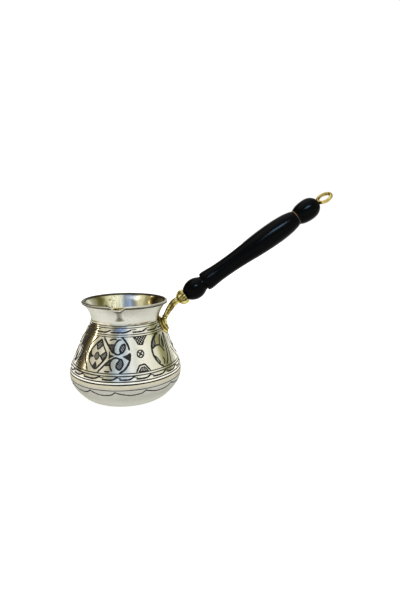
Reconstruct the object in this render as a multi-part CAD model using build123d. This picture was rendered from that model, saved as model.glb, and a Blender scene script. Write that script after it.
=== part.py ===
from build123d import *
import math
import os

os.makedirs("parts", exist_ok=True)

# ---------------------------------------------------------------- sizes (mm)
# Pot: spun, tinned copper. Row frame: origin at the centre of the flat base,
# +Z up, handle over +X, pouring spout over -Y.
POT_H = 80.0            # base to lip
WALL = 1.1              # sheet thickness
BASE_R = 31.2           # flat the pot stands on
# outer profile as (depth below the lip, radius)
PROFILE = [
    (2.6, 33.35), (6.6, 30.6), (11.0, 28.6), (15.0, 28.05), (19.9, 29.9),
    (25.4, 32.9), (32.0, 36.4), (39.7, 39.6), (47.4, 43.0), (54.1, 45.5),
    (60.7, 46.2), (66.2, 45.0), (71.7, 41.7), (76.1, 37.9),
]
LIP_OUT_R = 35.0        # rolled lip, outside
LIP_IN_R = 32.9         # rolled lip, inside
LIP_BAND = 2.7          # height of the thickened lip
# turned lines round the body: (depth below the lip, width, depth of cut)
TURNED = [
    (16.4, 0.45, 0.22), (17.9, 0.45, 0.22), (22.6, 0.45, 0.22), (24.0, 0.45, 0.22),
    (48.8, 0.50, 0.25), (50.4, 0.50, 0.25), (54.6, 0.55, 0.25), (56.8, 0.60, 0.28),
    (61.1, 0.40, 0.20),
]
# pressed pouring spout
SPOUT_TILT = 22.0       # lean of the pressed fold, degrees from vertical
SPOUT_MOUTH_R = 4.3     # outside radius of the fold at the lip
SPOUT_LEN = 13.0        # length of the fold down the neck
SPOUT_Y = 33.6          # radius at which the fold's axis meets the lip
SPOUT_AZ = -1.0         # the fold sits a degree off square to the handle

# Handle axis: leaves the bracket up and outwards in the XZ plane
AX_X, AX_Z = 50.36, 83.51   # point with s = 0 on the axis
AX_DEG = 35.45
ROD_R = 1.30
ROD_BORE_R = 1.32
BALL_S, BALL_R = -2.35, 6.35
BALL_FLAT_LO, BALL_FLAT_HI = -8.0, -0.40
BEAD = [
    (-0.40, 4.25), (0.05, 4.95), (1.1, 5.98), (2.5, 6.90), (4.2, 7.78), (5.85, 8.36),
    (7.5, 8.66), (9.2, 8.76), (10.9, 8.64), (12.5, 8.30), (14.2, 7.72), (15.85, 6.84),
    (17.2, 6.20), (18.20, 6.05),
]
GRIP_SHOULDER = [(18.20, 6.90), (18.42, 7.42), (18.85, 7.80)]
GRIP = [
    (18.85, 7.80), (20.8, 8.20), (24.2, 8.02), (27.5, 7.72), (32.4, 7.39), (37.4, 7.30),
    (44.0, 7.33), (52.2, 7.60), (60.5, 8.12), (68.6, 8.76), (76.8, 9.22), (84.9, 9.42),
    (91.4, 9.32), (97.9, 8.92), (102.8, 8.32), (106.2, 7.62), (108.6, 6.94), (109.90, 6.35),
]
WASHER_S0, WASHER_S1, WASHER_R = 109.90, 110.75, 6.50
KNOB = [
    (110.75, 6.35), (111.4, 6.92), (112.5, 7.44), (114.1, 8.02), (117.3, 8.66), (121.0, 8.88),
    (123.7, 8.70), (125.5, 8.32), (127.1, 7.66), (128.7, 6.64), (130.3, 5.00), (131.6, 2.95), (132.1, 1.62),
]
EYE_S = 137.98          # centre of the hanging eye along the axis
EYE_R = 5.55            # radius of the bent wire's centre line
EYE_WIRE_R = 1.15
EYE_TURN = 63.8         # eye turned about the axis, degrees

# Bracket: cast brass arm and foot
# centre line from the ball seat down to the foot, where it runs out as a rib
ARM_PTS = [(43.3, 79.0), (41.6, 77.95), (40.0, 76.6), (38.4, 74.55), (37.0, 72.4), (35.6, 70.2), (34.5, 68.1), (33.4, 65.9),
           (32.2, 63.8), (32.1, 61.4), (32.7, 58.7), (33.7, 56.0), (34.5, 54.3)]
ARM_HALF_T = [2.4, 2.45, 2.45, 2.42, 2.3, 2.1, 1.95, 1.9, 2.05, 2.0, 2.0, 1.7, 1.2]      # half width seen from the side
ARM_HALF_W = [2.8, 2.9, 3.0, 3.05, 3.0, 2.9, 2.8, 2.6, 2.4, 2.1, 1.7, 1.35, 0.9]        # half width across
FOOT_T = 1.7            # plate thickness
FOOT_RIM_T = 1.0        # raised rim above the plate
FOOT_RIM_W = 1.35
# half outline of the foot plate, looking along -X: (half width, height above base)
FOOT_OUT = [(0.0, 52.9), (2.5, 53.2), (4.8, 54.4), (6.4, 56.5), (6.9, 58.9), (6.3, 61.4), (4.6, 63.3), (2.2, 64.4), (0.0, 64.7)]
RIVET_Y, RIVET_Z = 3.75, 59.0
RIVET_R = 1.15
RIVET_HEAD_R = 1.75


def outer_pts():
    return [(r, POT_H - d) for d, r in PROFILE]


# ------------------------------------------------------------------ pot body
def profile_wires():
    """Outer spline, and an inner one offset inwards by the wall."""
    out = outer_pts()
    curve = Spline(*[(r, 0, z) for r, z in out])
    inner = []
    n = 34
    for i in range(n + 1):
        u = i / n
        p = curve.position_at(u)
        t = curve.tangent_at(u)
        # inward normal in the XZ plane; the curve runs downwards
        nx, nz = t.Z, -t.X
        if nx > 0:
            nx, nz = -nx, -nz
        inner.append((p.X + nx * WALL, p.Z + nz * WALL))
    return out, curve, inner


out, curve_out, inner = profile_wires()
inner = [p for p in inner if p[1] > 5.0]
e_out = Spline(*[(r, 0, z) for r, z in out])
e_in = Spline(*[(r, 0, z) for r, z in reversed(inner)])
p_top = (out[0][0], 0, out[0][1])
p_bot = (out[-1][0], 0, out[-1][1])
i_top = (inner[0][0], 0, inner[0][1])
i_bot = (inner[-1][0], 0, inner[-1][1])
zl = POT_H - LIP_BAND
edges = [
    e_out,
    # belly turns in to the flat base
    Spline(p_bot, (35.15, 0, 1.55), (BASE_R, 0, 0), tangents=[(-0.66, 0, -0.75), (-1, 0, -0.06)]),
    Line((BASE_R, 0, 0), (0, 0, 0)),
    Line((0, 0, 0), (0, 0, WALL)),
    Line((0, 0, WALL), (BASE_R - 0.6, 0, WALL)),
    Spline((BASE_R - 0.6, 0, WALL), (33.95, 0, 2.42), i_bot, tangents=[(1, 0, 0.05), (0.66, 0, 0.75)]),
    e_in,
    # rolled lip
    Line(i_top, (LIP_IN_R - 0.35, 0, POT_H - 1.1)),
    ThreePointArc((LIP_IN_R - 0.35, 0, POT_H - 1.1), ((LIP_IN_R + LIP_OUT_R) / 2 - 0.35, 0, POT_H), (LIP_OUT_R - 0.05, 0, POT_H - 0.85)),
    ThreePointArc((LIP_OUT_R - 0.05, 0, POT_H - 0.85), (LIP_OUT_R - 0.02, 0, zl + 0.9), (LIP_OUT_R - 0.75, 0, zl)),
    Line((LIP_OUT_R - 0.75, 0, zl), p_top),
]
section = make_face(Wire(edges))
body = revolve(section, Axis.Z, 360)
if body.volume < 0:
    body = -body

# everything inside the pot, used to trim the pressed spout
e_in2 = Spline(*[(r, 0, z) for r, z in reversed(inner)])
void_sec = make_face(Wire([
    Line((0, 0, i_bot[2]), i_bot), e_in2,
    Line(i_top, (LIP_IN_R - 0.35, 0, POT_H + 12)),
    Line((LIP_IN_R - 0.35, 0, POT_H + 12), (0, 0, POT_H + 12)),
    Line((0, 0, POT_H + 12), (0, 0, i_bot[2])),
]))
void = revolve(void_sec, Axis.Z, 360)

# pressed spout: a small fold, outside and inside, leaning outwards
tilt = math.radians(SPOUT_TILT)
sp_plane = Plane(
    origin=(0, -SPOUT_Y, POT_H - 0.4),
    x_dir=(1, 0, 0),
    z_dir=(0, -math.sin(tilt), math.cos(tilt)),
)
R = SPOUT_MOUTH_R
horn_out = revolve(make_face(Polyline(
    (0, 0, -SPOUT_LEN), (0.7, 0, -SPOUT_LEN + 0.3), (R * 0.62, 0, -SPOUT_LEN * 0.52), (R - 0.75, 0, -LIP_BAND + 0.2),
    (R + 0.0, 0, -LIP_BAND + 0.8), (R + 0.1, 0, -0.75), (R - 0.45, 0, -0.1), (0, 0, -0.1), (0, 0, -SPOUT_LEN),
)), Axis.Z, 360)
horn_in = revolve(make_face(Polyline(
    (0, 0, -SPOUT_LEN + 2.4), (0.3, 0, -SPOUT_LEN + 2.6), (R * 0.62 - 1.1, 0, -SPOUT_LEN * 0.52), (R - 1.80, 0, -LIP_BAND + 0.2),
    (R - 1.60, 0, -0.9), (R - 1.15, 0, -0.1), (R - 1.15, 0, 9.0), (0, 0, 9.0), (0, 0, -SPOUT_LEN + 2.4),
)), Axis.Z, 360)
horn_out = (sp_plane.location * horn_out).rotate(Axis.Z, SPOUT_AZ)
horn_in = (sp_plane.location * horn_in).rotate(Axis.Z, SPOUT_AZ)
body = body + (horn_out - void)
body = body - horn_in
# nothing stands above the lip
body = body - Pos(0, 0, POT_H + 5) * Box(120, 120, 10)

# turned lines
for d, w, c in TURNED:
    z = POT_H - d
    us = [i / 400 for i in range(401)]
    best = min(us, key=lambda u: abs(curve_out.position_at(u).Z - z))
    p = curve_out.position_at(best)
    t = curve_out.tangent_at(best)
    nx, nz = -t.Z, t.X
    if nx < 0:
        nx, nz = -nx, -nz
    tip = (p.X - nx * c, 0, z - nz * c)
    a = (p.X + nx * 0.3 + t.X * w * 0.9, 0, z + nz * 0.3 + t.Z * w * 0.9)
    b = (p.X + nx * 0.3 - t.X * w * 0.9, 0, z + nz * 0.3 - t.Z * w * 0.9)
    body = body - revolve(make_face(Polyline(tip, a, b, tip)), Axis.Z, 360)

# ------------------------------------------------------------- handle pieces
ang = math.radians(AX_DEG)
h_plane = Plane(origin=(AX_X, 0, AX_Z), x_dir=(-math.sin(ang), 0, math.cos(ang)), z_dir=(math.cos(ang), 0, math.sin(ang)))


def turned_piece(s0, s1, edge_list, bore):
    """Revolve an (r, s) outline about the handle axis, bored through."""
    sec = make_face(Wire([e for item in edge_list for e in item.edges()]))
    p = revolve(sec, Axis.Z, 360)
    p = p - Cylinder(bore, (s1 - s0) + 4).moved(Location((0, 0, (s0 + s1) / 2)))
    return h_plane.location * p


def spl(pts):
    return Spline(*[(r, 0, s) for s, r in pts])


bead = turned_piece(BEAD[0][0], BEAD[-1][0], [
    spl(BEAD),
    Line((BEAD[-1][1], 0, BEAD[-1][0]), (0, 0, BEAD[-1][0])),
    Line((0, 0, BEAD[-1][0]), (0, 0, BEAD[0][0])),
    Line((0, 0, BEAD[0][0]), (BEAD[0][1], 0, BEAD[0][0])),
], ROD_BORE_R)

grip = turned_piece(GRIP_SHOULDER[0][0], GRIP[-1][0], [
    Line((0, 0, GRIP_SHOULDER[0][0]), (GRIP_SHOULDER[0][1], 0, GRIP_SHOULDER[0][0])),
    Polyline(*[(r, 0, s) for s, r in GRIP_SHOULDER]),
    spl(GRIP),
    Line((GRIP[-1][1], 0, GRIP[-1][0]), (0, 0, GRIP[-1][0])),
    Line((0, 0, GRIP[-1][0]), (0, 0, GRIP_SHOULDER[0][0])),
], ROD_BORE_R)

washer = h_plane.location * (
    Cylinder(WASHER_R, WASHER_S1 - WASHER_S0) - Cylinder(ROD_BORE_R, 4)
).moved(Location((0, 0, (WASHER_S0 + WASHER_S1) / 2)))

knob = turned_piece(KNOB[0][0], KNOB[-1][0], [
    spl(KNOB),
    Line((KNOB[-1][1], 0, KNOB[-1][0]), (0, 0, KNOB[-1][0])),
    Line((0, 0, KNOB[-1][0]), (0, 0, KNOB[0][0])),
    Line((0, 0, KNOB[0][0]), (KNOB[0][1], 0, KNOB[0][0])),
], ROD_BORE_R)

# fluted brass ball between the bracket and the first wooden bead
ball = Sphere(BALL_R).moved(Location((0, 0, BALL_S)))
ball = ball & Cylinder(BALL_R + 1, BALL_FLAT_HI - BALL_FLAT_LO).moved(Location((0, 0, (BALL_FLAT_HI + BALL_FLAT_LO) / 2)))
for k in range(8):
    a = math.radians(22.5 + 45 * k)
    # each flute runs over the ball from end to end
    cutter = Torus(BALL_R + 0.15, 0.62)
    cutter = cutter.moved(Location((0, 0, 0), (90, 0, 0)))
    # keep the half on the +X side of the ball only
    cutter = cutter & Box(12, 4, 20).moved(Location((6.6, 0, 0)))
    cutter = cutter.moved(Location((0, 0, BALL_S), (0, 0, math.degrees(a))))
    ball = ball - cutter
ball = ball - Cylinder(ROD_BORE_R, 30)
ball = h_plane.location * ball

# rod through the wood, bent into a hanging eye at the far end
turn = math.radians(EYE_TURN)
rod = Cylinder(ROD_R, 12.6 + (EYE_S - EYE_R)).moved(Location((0, 0, (-12.6 + EYE_S - EYE_R) / 2)))
eye = Torus(EYE_R, EYE_WIRE_R).moved(Location((0, 0, 0), (90, 0, 0)))      # eye in the XZ plane of the axis frame
eye = eye.moved(Location((0, 0, EYE_S), (0, 0, -EYE_TURN)))
rod = h_plane.location * (rod + eye)
# the knob's end is hollowed a little where the eye bears on it
eye_seat = Torus(EYE_R, EYE_WIRE_R + 0.04).moved(Location((0, 0, 0), (90, 0, 0))).moved(Location((0, 0, EYE_S), (0, 0, -EYE_TURN)))
knob = knob - (h_plane.location * eye_seat)

# ------------------------------------------------------------------- bracket


def arm_section(i):
    x, z = ARM_PTS[i]
    if i == 0:
        dx, dz = math.cos(ang), math.sin(ang)
    elif i == len(ARM_PTS) - 1:
        dx, dz = ARM_PTS[i - 1][0] - x, ARM_PTS[i - 1][1] - z
    else:
        dx, dz = ARM_PTS[i - 1][0] - ARM_PTS[i + 1][0], ARM_PTS[i - 1][1] - ARM_PTS[i + 1][1]
    l = math.hypot(dx, dz)
    pl = Plane(origin=(x, 0, z), x_dir=(0, 1, 0), z_dir=(dx / l, 0, dz / l))
    w, t = ARM_HALF_W[i], ARM_HALF_T[i]
    # two reeds on each side with a flute between them
    pts = []
    n = 28
    for k in range(n):
        a = 2 * math.pi * k / n
        px, py = w * math.cos(a), t * math.sin(a)
        # pull the section in on its sides, for the flute
        f = 1 - 0.17 * max(0.0, math.cos(a) ** 2) ** 6
        pts.append((px * f, py))
    sp = Spline(*[(a, b) for a, b in pts], periodic=True)
    return pl * make_face(Wire([sp]))


arm = loft([arm_section(i) for i in range(len(ARM_PTS))])

# foot: follows the shoulder of the pot and carries a raised rim


def shell(t0, t1, z0, z1):
    pts_o, pts_i = [], []
    for i in range(41):
        u = i / 40
        p = curve_out.position_at(u)
        t = curve_out.tangent_at(u)
        nx, nz = -t.Z, t.X
        if nx < 0:
            nx, nz = -nx, -nz
        if z0 <= p.Z <= z1:
            pts_i.append((p.X + nx * t0, 0, p.Z + nz * t0))
            pts_o.append((p.X + nx * t1, 0, p.Z + nz * t1))
    sec = make_face(Wire([
        Spline(*pts_o), Line(pts_o[-1], pts_i[-1]), Spline(*reversed(pts_i)), Line(pts_i[0], pts_o[0]),
    ]))
    return revolve(sec, Axis.Z, 80).rotate(Axis.Z, -40)


def shield(inset):
    pts = []
    cz = 58.8
    for y, z in FOOT_OUT:
        l = math.hypot(y, z - cz)
        k = (l - inset) / l
        pts.append((y * k, cz + (z - cz) * k))
    right = [(y, z) for y, z in pts]
    left = [(-y, z) for y, z in reversed(pts[1:-1])]
    sp = Spline(*[(0, y, z) for y, z in right + left], periodic=True)
    f = make_face(Wire([sp]))
    return extrude(f, amount=70, dir=(1, 0, 0))


plate = shell(0.02, FOOT_T, 49.0, 68.0) & shield(0.0)
rim = (shell(FOOT_T - 0.3, FOOT_T + FOOT_RIM_T, 49.0, 68.0) & shield(0.0)) - shield(FOOT_RIM_W)
# small knuckle where the arm meets the foot
knuckle = Torus(1.9, 0.8).moved(Location((32.6, 0, 64.9), (0, 28, 0)))
# the arm and its rib stop inside the thickness of the plate
k = 0.7
core = revolve(make_face(Wire([
    Spline(*[(r + k, 0, z) for r, z in out]),
    Line((out[-1][0] + k, 0, out[-1][1]), (0, 0, out[-1][1])),
    Line((0, 0, out[-1][1]), (0, 0, out[0][1])),
    Line((0, 0, out[0][1]), (out[0][0] + k, 0, out[0][1])),
])), Axis.Z, 360)
bracket = plate + rim + ((arm + knuckle) - core)
# seat for the ball and blind hole for the rod's end
seat = Cylinder(9, 6).moved(Location((0, 0, BALL_FLAT_LO + 3.0)))
bracket = bracket - (h_plane.location * seat)
bracket = bracket - (h_plane.location * Cylinder(ROD_R + 0.02, 12).moved(Location((0, 0, -12.62 + 6))))

# ------------------------------------------------------------------- rivets
rivets = []
holes = []
for sgn in (1, -1):
    y = sgn * RIVET_Y
    # direction square to the pot's shoulder at the rivet
    us = [i / 400 for i in range(401)]
    best = min(us, key=lambda u: abs(curve_out.position_at(u).Z - RIVET_Z))
    p = curve_out.position_at(best)
    t = curve_out.tangent_at(best)
    nx, nz = -t.Z, t.X
    if nx < 0:
        nx, nz = -nx, -nz
    az = math.asin(y / p.X)
    o = Vector(p.X * math.cos(az), p.X * math.sin(az), p.Z)
    d = Vector(nx * math.cos(az), nx * math.sin(az), nz).normalized()
    pl = Plane(origin=o, z_dir=d)
    shank = Cylinder(RIVET_R, WALL + FOOT_T + 0.9).moved(Location((0, 0, (FOOT_T - WALL) / 2)))
    head = Sphere(RIVET_HEAD_R) & Cylinder(4, 2.2).moved(Location((0, 0, 1.1)))
    head = scale(head, by=(1, 1, 0.62)).moved(Location((0, 0, FOOT_T + 0.02)))
    inner_head = Sphere(RIVET_HEAD_R) & Cylinder(4, 2.2).moved(Location((0, 0, -1.1)))
    inner_head = scale(inner_head, by=(1, 1, 0.36)).moved(Location((0, 0, -WALL - 0.12)))
    rv = shank + head + inner_head
    rivets.append(pl.location * rv)
    holes.append(pl.location * Cylinder(RIVET_R + 0.02, 12))
    # flat land under the rivet's outer head
    bracket = bracket - (pl.location * Cylinder(RIVET_HEAD_R + 0.15, 6).moved(Location((0, 0, FOOT_T + 3.0))))
    # flat land under the inner head
    body = body - (pl.location * Cylinder(RIVET_HEAD_R + 0.1, 1.2).moved(Location((0, 0, -WALL - 0.10 - 0.6))))
for h in holes:
    bracket = bracket - h
    body = body - h
rivet_group = Compound(children=[r.solid() if hasattr(r, "solid") else r for r in rivets])


def one(shape, name):
    """The single solid of a piece."""
    sol = shape.solids()
    sol = sorted(sol, key=lambda s: s.volume)
    for s in sol[:-1]:
        print(name, "dropped sliver", round(s.volume, 3))
    return sol[-1]


pieces = {
    "pot_body": one(body, "pot_body"),
    "handle_bracket": one(bracket, "handle_bracket"),
    "bracket_rivets": rivet_group,
    "ball_ferrule": one(ball, "ball_ferrule"),
    "handle_bead": one(bead, "handle_bead"),
    "handle_grip": one(grip, "handle_grip"),
    "joint_washer": one(washer, "joint_washer"),
    "end_knob": one(knob, "end_knob"),
    "eye_rod": one(rod, "eye_rod"),
}
for name, shape in pieces.items():
    bb = shape.bounding_box()
    print(name, "vol", round(shape.volume, 1), "min", [round(v, 2) for v in bb.min], "max", [round(v, 2) for v in bb.max])
    export_step(shape, "parts/" + name + ".step")
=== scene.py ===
import math
import random

import bpy
import numpy as np
from mathutils import Matrix, Vector
from mathutils.geometry import delaunay_2d_cdt


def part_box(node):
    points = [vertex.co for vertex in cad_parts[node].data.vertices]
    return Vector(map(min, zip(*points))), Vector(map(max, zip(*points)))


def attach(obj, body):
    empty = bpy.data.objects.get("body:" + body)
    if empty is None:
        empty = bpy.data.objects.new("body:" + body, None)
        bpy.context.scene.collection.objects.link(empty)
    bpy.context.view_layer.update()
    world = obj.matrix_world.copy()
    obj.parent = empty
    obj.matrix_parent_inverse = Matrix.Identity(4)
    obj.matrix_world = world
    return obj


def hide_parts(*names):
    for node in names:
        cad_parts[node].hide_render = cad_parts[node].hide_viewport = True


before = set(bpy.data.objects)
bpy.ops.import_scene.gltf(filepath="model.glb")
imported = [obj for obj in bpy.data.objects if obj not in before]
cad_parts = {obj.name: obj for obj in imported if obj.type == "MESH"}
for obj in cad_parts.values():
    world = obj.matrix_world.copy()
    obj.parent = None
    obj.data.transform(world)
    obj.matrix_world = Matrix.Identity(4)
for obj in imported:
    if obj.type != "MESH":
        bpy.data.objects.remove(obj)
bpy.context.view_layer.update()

random.seed(7)
rng = np.random.default_rng(7)
scene = bpy.context.scene
MM = 0.001

# ------------------------------------------------------------------ the pot's shape (mm)
POT_H = 80.0
WALL = 1.1
BASE_R = 31.2
PROFILE = [
    (2.6, 33.35), (6.6, 30.6), (11.0, 28.6), (15.0, 28.05), (19.9, 29.9),
    (25.4, 32.9), (32.0, 36.4), (39.7, 39.6), (47.4, 43.0), (54.1, 45.5),
    (60.7, 46.2), (66.2, 45.0), (71.7, 41.7), (76.1, 37.9),
]
SPOUT_AZ = -1.0


def natural_cubic(t, y, q):
    """Natural cubic spline through (t, y), read at q."""
    t, y, q = np.asarray(t, float), np.asarray(y, float), np.asarray(q, float)
    n = len(t)
    h = np.diff(t)
    a = np.zeros((n, n))
    b = np.zeros(n)
    a[0, 0] = a[-1, -1] = 1
    for i in range(1, n - 1):
        a[i, i - 1], a[i, i], a[i, i + 1] = h[i - 1], 2 * (h[i - 1] + h[i]), h[i]
        b[i] = 6 * ((y[i + 1] - y[i]) / h[i] - (y[i] - y[i - 1]) / h[i - 1])
    m = np.linalg.solve(a, b)
    k = np.clip(np.searchsorted(t, q) - 1, 0, n - 2)
    d0, d1 = q - t[k], t[k + 1] - q
    return (m[k] * d1 ** 3 + m[k + 1] * d0 ** 3) / (6 * h[k]) + (y[k] / h[k] - m[k] * h[k] / 6) * d1 + (y[k + 1] / h[k] - m[k + 1] * h[k] / 6) * d0


def wall_curve():
    """Outer generatrix from under the lip down to the edge of the flat base: arrays r, z, s."""
    r = np.array([p[1] for p in PROFILE])
    z = np.array([POT_H - p[0] for p in PROFILE])
    t = np.r_[0, np.cumsum(np.hypot(np.diff(r), np.diff(z)))]
    q = np.linspace(0, t[-1], 900)
    rr, zz = natural_cubic(t, r, q), natural_cubic(t, z, q)
    # turn in to the base
    p0, p3 = np.array([rr[-1], zz[-1]]), np.array([BASE_R, 0.0])
    d0 = np.array([rr[-1] - rr[-8], zz[-1] - zz[-8]])
    d0 /= np.linalg.norm(d0)
    p1, p2 = p0 + d0 * 2.8, p3 + np.array([2.5, 0.16])
    u = np.linspace(0, 1, 90)[1:, None]
    bz = (1 - u) ** 3 * p0 + 3 * (1 - u) ** 2 * u * p1 + 3 * (1 - u) * u * u * p2 + u ** 3 * p3
    rr, zz = np.r_[rr, bz[:, 0]], np.r_[zz, bz[:, 1]]
    s = np.r_[0, np.cumsum(np.hypot(np.diff(rr), np.diff(zz)))]
    return rr, zz, s


GR, GZ, GS = wall_curve()
S_END = float(GS[-1])


def r_of(s):
    return np.interp(s, GS, GR)


def z_of(s):
    return np.interp(s, GS, GZ)


def s_of_depth(d):
    return np.interp(d, POT_H - GZ, GS)


def spout_shift(theta, z):
    """Outward and downward push of the pressed pouring lip, in mm. theta in degrees from -Y."""
    h = np.clip(POT_H - z, 0, 16.0)
    k = np.clip(1 - h / 15.0, 0, 1)
    amp = 3.9 * np.clip(1 - h / 13.2, 0, 1) ** 1.05
    d = theta - SPOUT_AZ
    # wide at the lip, pinched just below it and opening again where the fold runs out
    mouth = np.clip(1 - h / 4.6, 0, 1) ** 0.8
    run = np.clip((h - 5.0) / 7.5, 0, 1)
    half = np.where(d < 0, 5.2 + 8.0 * mouth + 3.0 * run, 4.8 + 5.6 * mouth + 3.0 * run)
    x = np.clip(np.abs(d) / half, 0, 1)
    x = np.clip((x - 0.16) / 0.84, 0, 1)
    f = 0.5 + 0.5 * np.cos(math.pi * x)
    # a crease down the middle of the fold under the lip
    crease = np.exp(-(d / 1.5) ** 2) * 0.55 * np.clip((h - 2.0) / 3.0, 0, 1) * np.clip(1 - (h - 7.5) / 4.5, 0, 1)
    return amp * f + crease, 0.56 * amp * f


def place(theta, r, z):
    """Row-frame position of a point of the pot, in mm."""
    theta, r, z = np.asarray(theta, float), np.asarray(r, float), np.asarray(z, float)
    dr, dz = spout_shift(theta, z)
    a = np.radians(theta)
    # slight out-of-round and wander of the spun wall
    w = 0.05 * np.sin(2 * a + 0.7) + 0.035 * np.sin(3 * a + z * 0.06) + 0.02 * np.sin(7 * a + z * 0.19)
    w = w * np.clip(z / 6.0, 0, 1)
    rr = r + dr + w
    return np.stack([rr * np.sin(a), -rr * np.cos(a), z - dz], -1)


def outer_point(theta, s):
    return place(theta, r_of(s), z_of(s))


def outer_normal(theta, s):
    e = 0.05
    a = outer_point(theta + 0.1, s) - outer_point(theta - 0.1, s)
    b = outer_point(theta, np.minimum(s + e, S_END)) - outer_point(theta, np.maximum(s - e, 0))
    n = np.cross(b, a)
    return n / np.linalg.norm(n, axis=-1, keepdims=True)


# ------------------------------------------------------------------ the cut ornament
# Every cut is a line in (angle in degrees from the spout, depth below the lip in mm).
SEAM = 73.5
T0, T1 = SEAM - 360.0, SEAM
strokes = []      # (array of theta, array of s, array of width, cut depth)
fills = []        # closed polygons that are cut away all over


def smooth(pts, step=0.75, closed=False):
    """Catmull-Rom through (theta, depth) points, about step mm between them, as (theta, s)."""
    p = [(t, float(s_of_depth(d))) for t, d in pts]
    if closed:
        p = [p[-1]] + p + [p[0], p[1]]
    else:
        p = [p[0]] + p + [p[-1]]
    out = []
    for i in range(1, len(p) - 2):
        p0, p1, p2, p3 = (np.array(v) for v in p[i - 1:i + 3])
        k = float(r_of(p1[1])) * math.pi / 180
        n = max(1, int(math.ceil(math.hypot((p2[0] - p1[0]) * k, p2[1] - p1[1]) / step)))
        for j in range(n):
            t = j / n
            out.append(0.5 * ((2 * p1) + (-p0 + p2) * t + (2 * p0 - 5 * p1 + 4 * p2 - p3) * t * t + (-p0 + 3 * p1 - 3 * p2 + p3) * t ** 3))
    out.append(np.array(p[-2]))
    return np.array(out)


def cut(pts, w=0.8, taper=True, closed=False, straight=False, depth=None, step=0.75):
    """A line cut with a graver: pts are (theta, depth)."""
    if straight:
        q = []
        pp = list(pts) + ([pts[0]] if closed else [])
        for a, b in zip(pp[:-1], pp[1:]):
            k = float(r_of(s_of_depth(a[1]))) * math.pi / 180
            n = max(1, int(math.ceil(math.hypot((b[0] - a[0]) * k, b[1] - a[1]) / (step * 1.3))))
            for j in range(n):
                t = j / n
                q.append((a[0] + (b[0] - a[0]) * t, float(s_of_depth(a[1] + (b[1] - a[1]) * t))))
        q.append((pp[-1][0], float(s_of_depth(pp[-1][1]))))
        q = np.array(q)
    else:
        q = smooth(pts, step, closed)
    k = r_of(q[:, 1]) * math.pi / 180
    seg = np.hypot(np.diff(q[:, 0]) * k[:-1], np.diff(q[:, 1]))
    run = np.r_[0, np.cumsum(seg)]
    ww = np.full(len(q), float(w))
    if taper and not closed:
        e = np.minimum(run, run[-1] - run)
        ww *= np.clip(0.30 + e / (1.6 * w), 0.30, 1.0)
    ww *= 1.34
    # the hand's small changes of pressure
    ww *= 1 + 0.09 * np.sin(run * 1.7 + q[0, 0]) + 0.05 * np.sin(run * 4.1 + q[0, 1])
    strokes.append((q[:, 0], q[:, 1], ww, (0.30 * w if depth is None else depth)))


def ring(d, w, wobble=0.0):
    t = np.arange(T0 - 2, T1 + 2.01, 2.0)
    dd = d + wobble * (np.sin(np.radians(t) * 5 + d) + 0.6 * np.sin(np.radians(t) * 11 + 2 * d))
    # exact match on both sides of the seam
    s = s_of_depth(dd)
    ww = np.full(len(t), w) * (1 + 0.10 * np.sin(np.radians(t) * 9 + d))
    strokes.append((t, s, ww, 0.30 * w))


def fill(pts):
    """A patch cut away all over."""
    cut(pts, 0.42, closed=True, straight=True, taper=False)
    fills.append(np.array([(t, float(s_of_depth(d))) for t, d in pts]))


def inside(poly, t, s):
    """Which (t, s) are inside a polygon."""
    res = np.zeros(len(t), bool)
    n = len(poly)
    for i in range(n):
        x0, y0 = poly[i]
        x1, y1 = poly[(i + 1) % n]
        c = (y0 > s) != (y1 > s)
        if y1 != y0:
            res ^= c & (t < (x1 - x0) * (s - y0) / (y1 - y0) + x0)
    return res


def hatch(pts, pitch=0.95, w=0.42, angle=55, cross=False, outline=0.5, closed_curve=True):
    """An outlined patch filled with parallel cuts."""
    if outline:
        if closed_curve:
            cut(pts, outline, closed=True, taper=False)
        else:
            cut(pts, outline, closed=True, straight=True, taper=False)
    poly = smooth(pts, 0.6, True) if closed_curve else np.array([(t, float(s_of_depth(d))) for t, d in pts])
    c = poly.mean(0)
    k = float(r_of(c[1])) * math.pi / 180
    for ang in ([angle, angle + 85] if cross else [angle]):
        a = math.radians(ang)
        d, n = np.array([math.cos(a), math.sin(a)]), np.array([-math.sin(a), math.cos(a)])
        m = (poly - c) * [k, 1]
        lo, hi = (m @ n).min(), (m @ n).max()
        for o in np.arange(lo + pitch * 0.6, hi - pitch * 0.2, pitch):
            u = np.linspace(-12, 12, 241)
            line = n * o + d * u[:, None]
            q = c + line / [k, 1]
            ok = inside(poly, q[:, 0], q[:, 1])
            i = 0
            while i < len(u):
                if ok[i]:
                    j = i
                    while j + 1 < len(u) and ok[j + 1]:
                        j += 1
                    if u[j] - u[i] > 0.7:
                        a0, b0 = q[i], q[j]
                        nn = max(2, int((u[j] - u[i]) / 0.8) + 1)
                        tt = np.linspace(0, 1, nn)[:, None]
                        ln = a0 + (b0 - a0) * tt
                        strokes.append((ln[:, 0], ln[:, 1], np.full(nn, w * 1.13), 0.24 * w))
                    i = j + 1
                else:
                    i += 1


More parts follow.
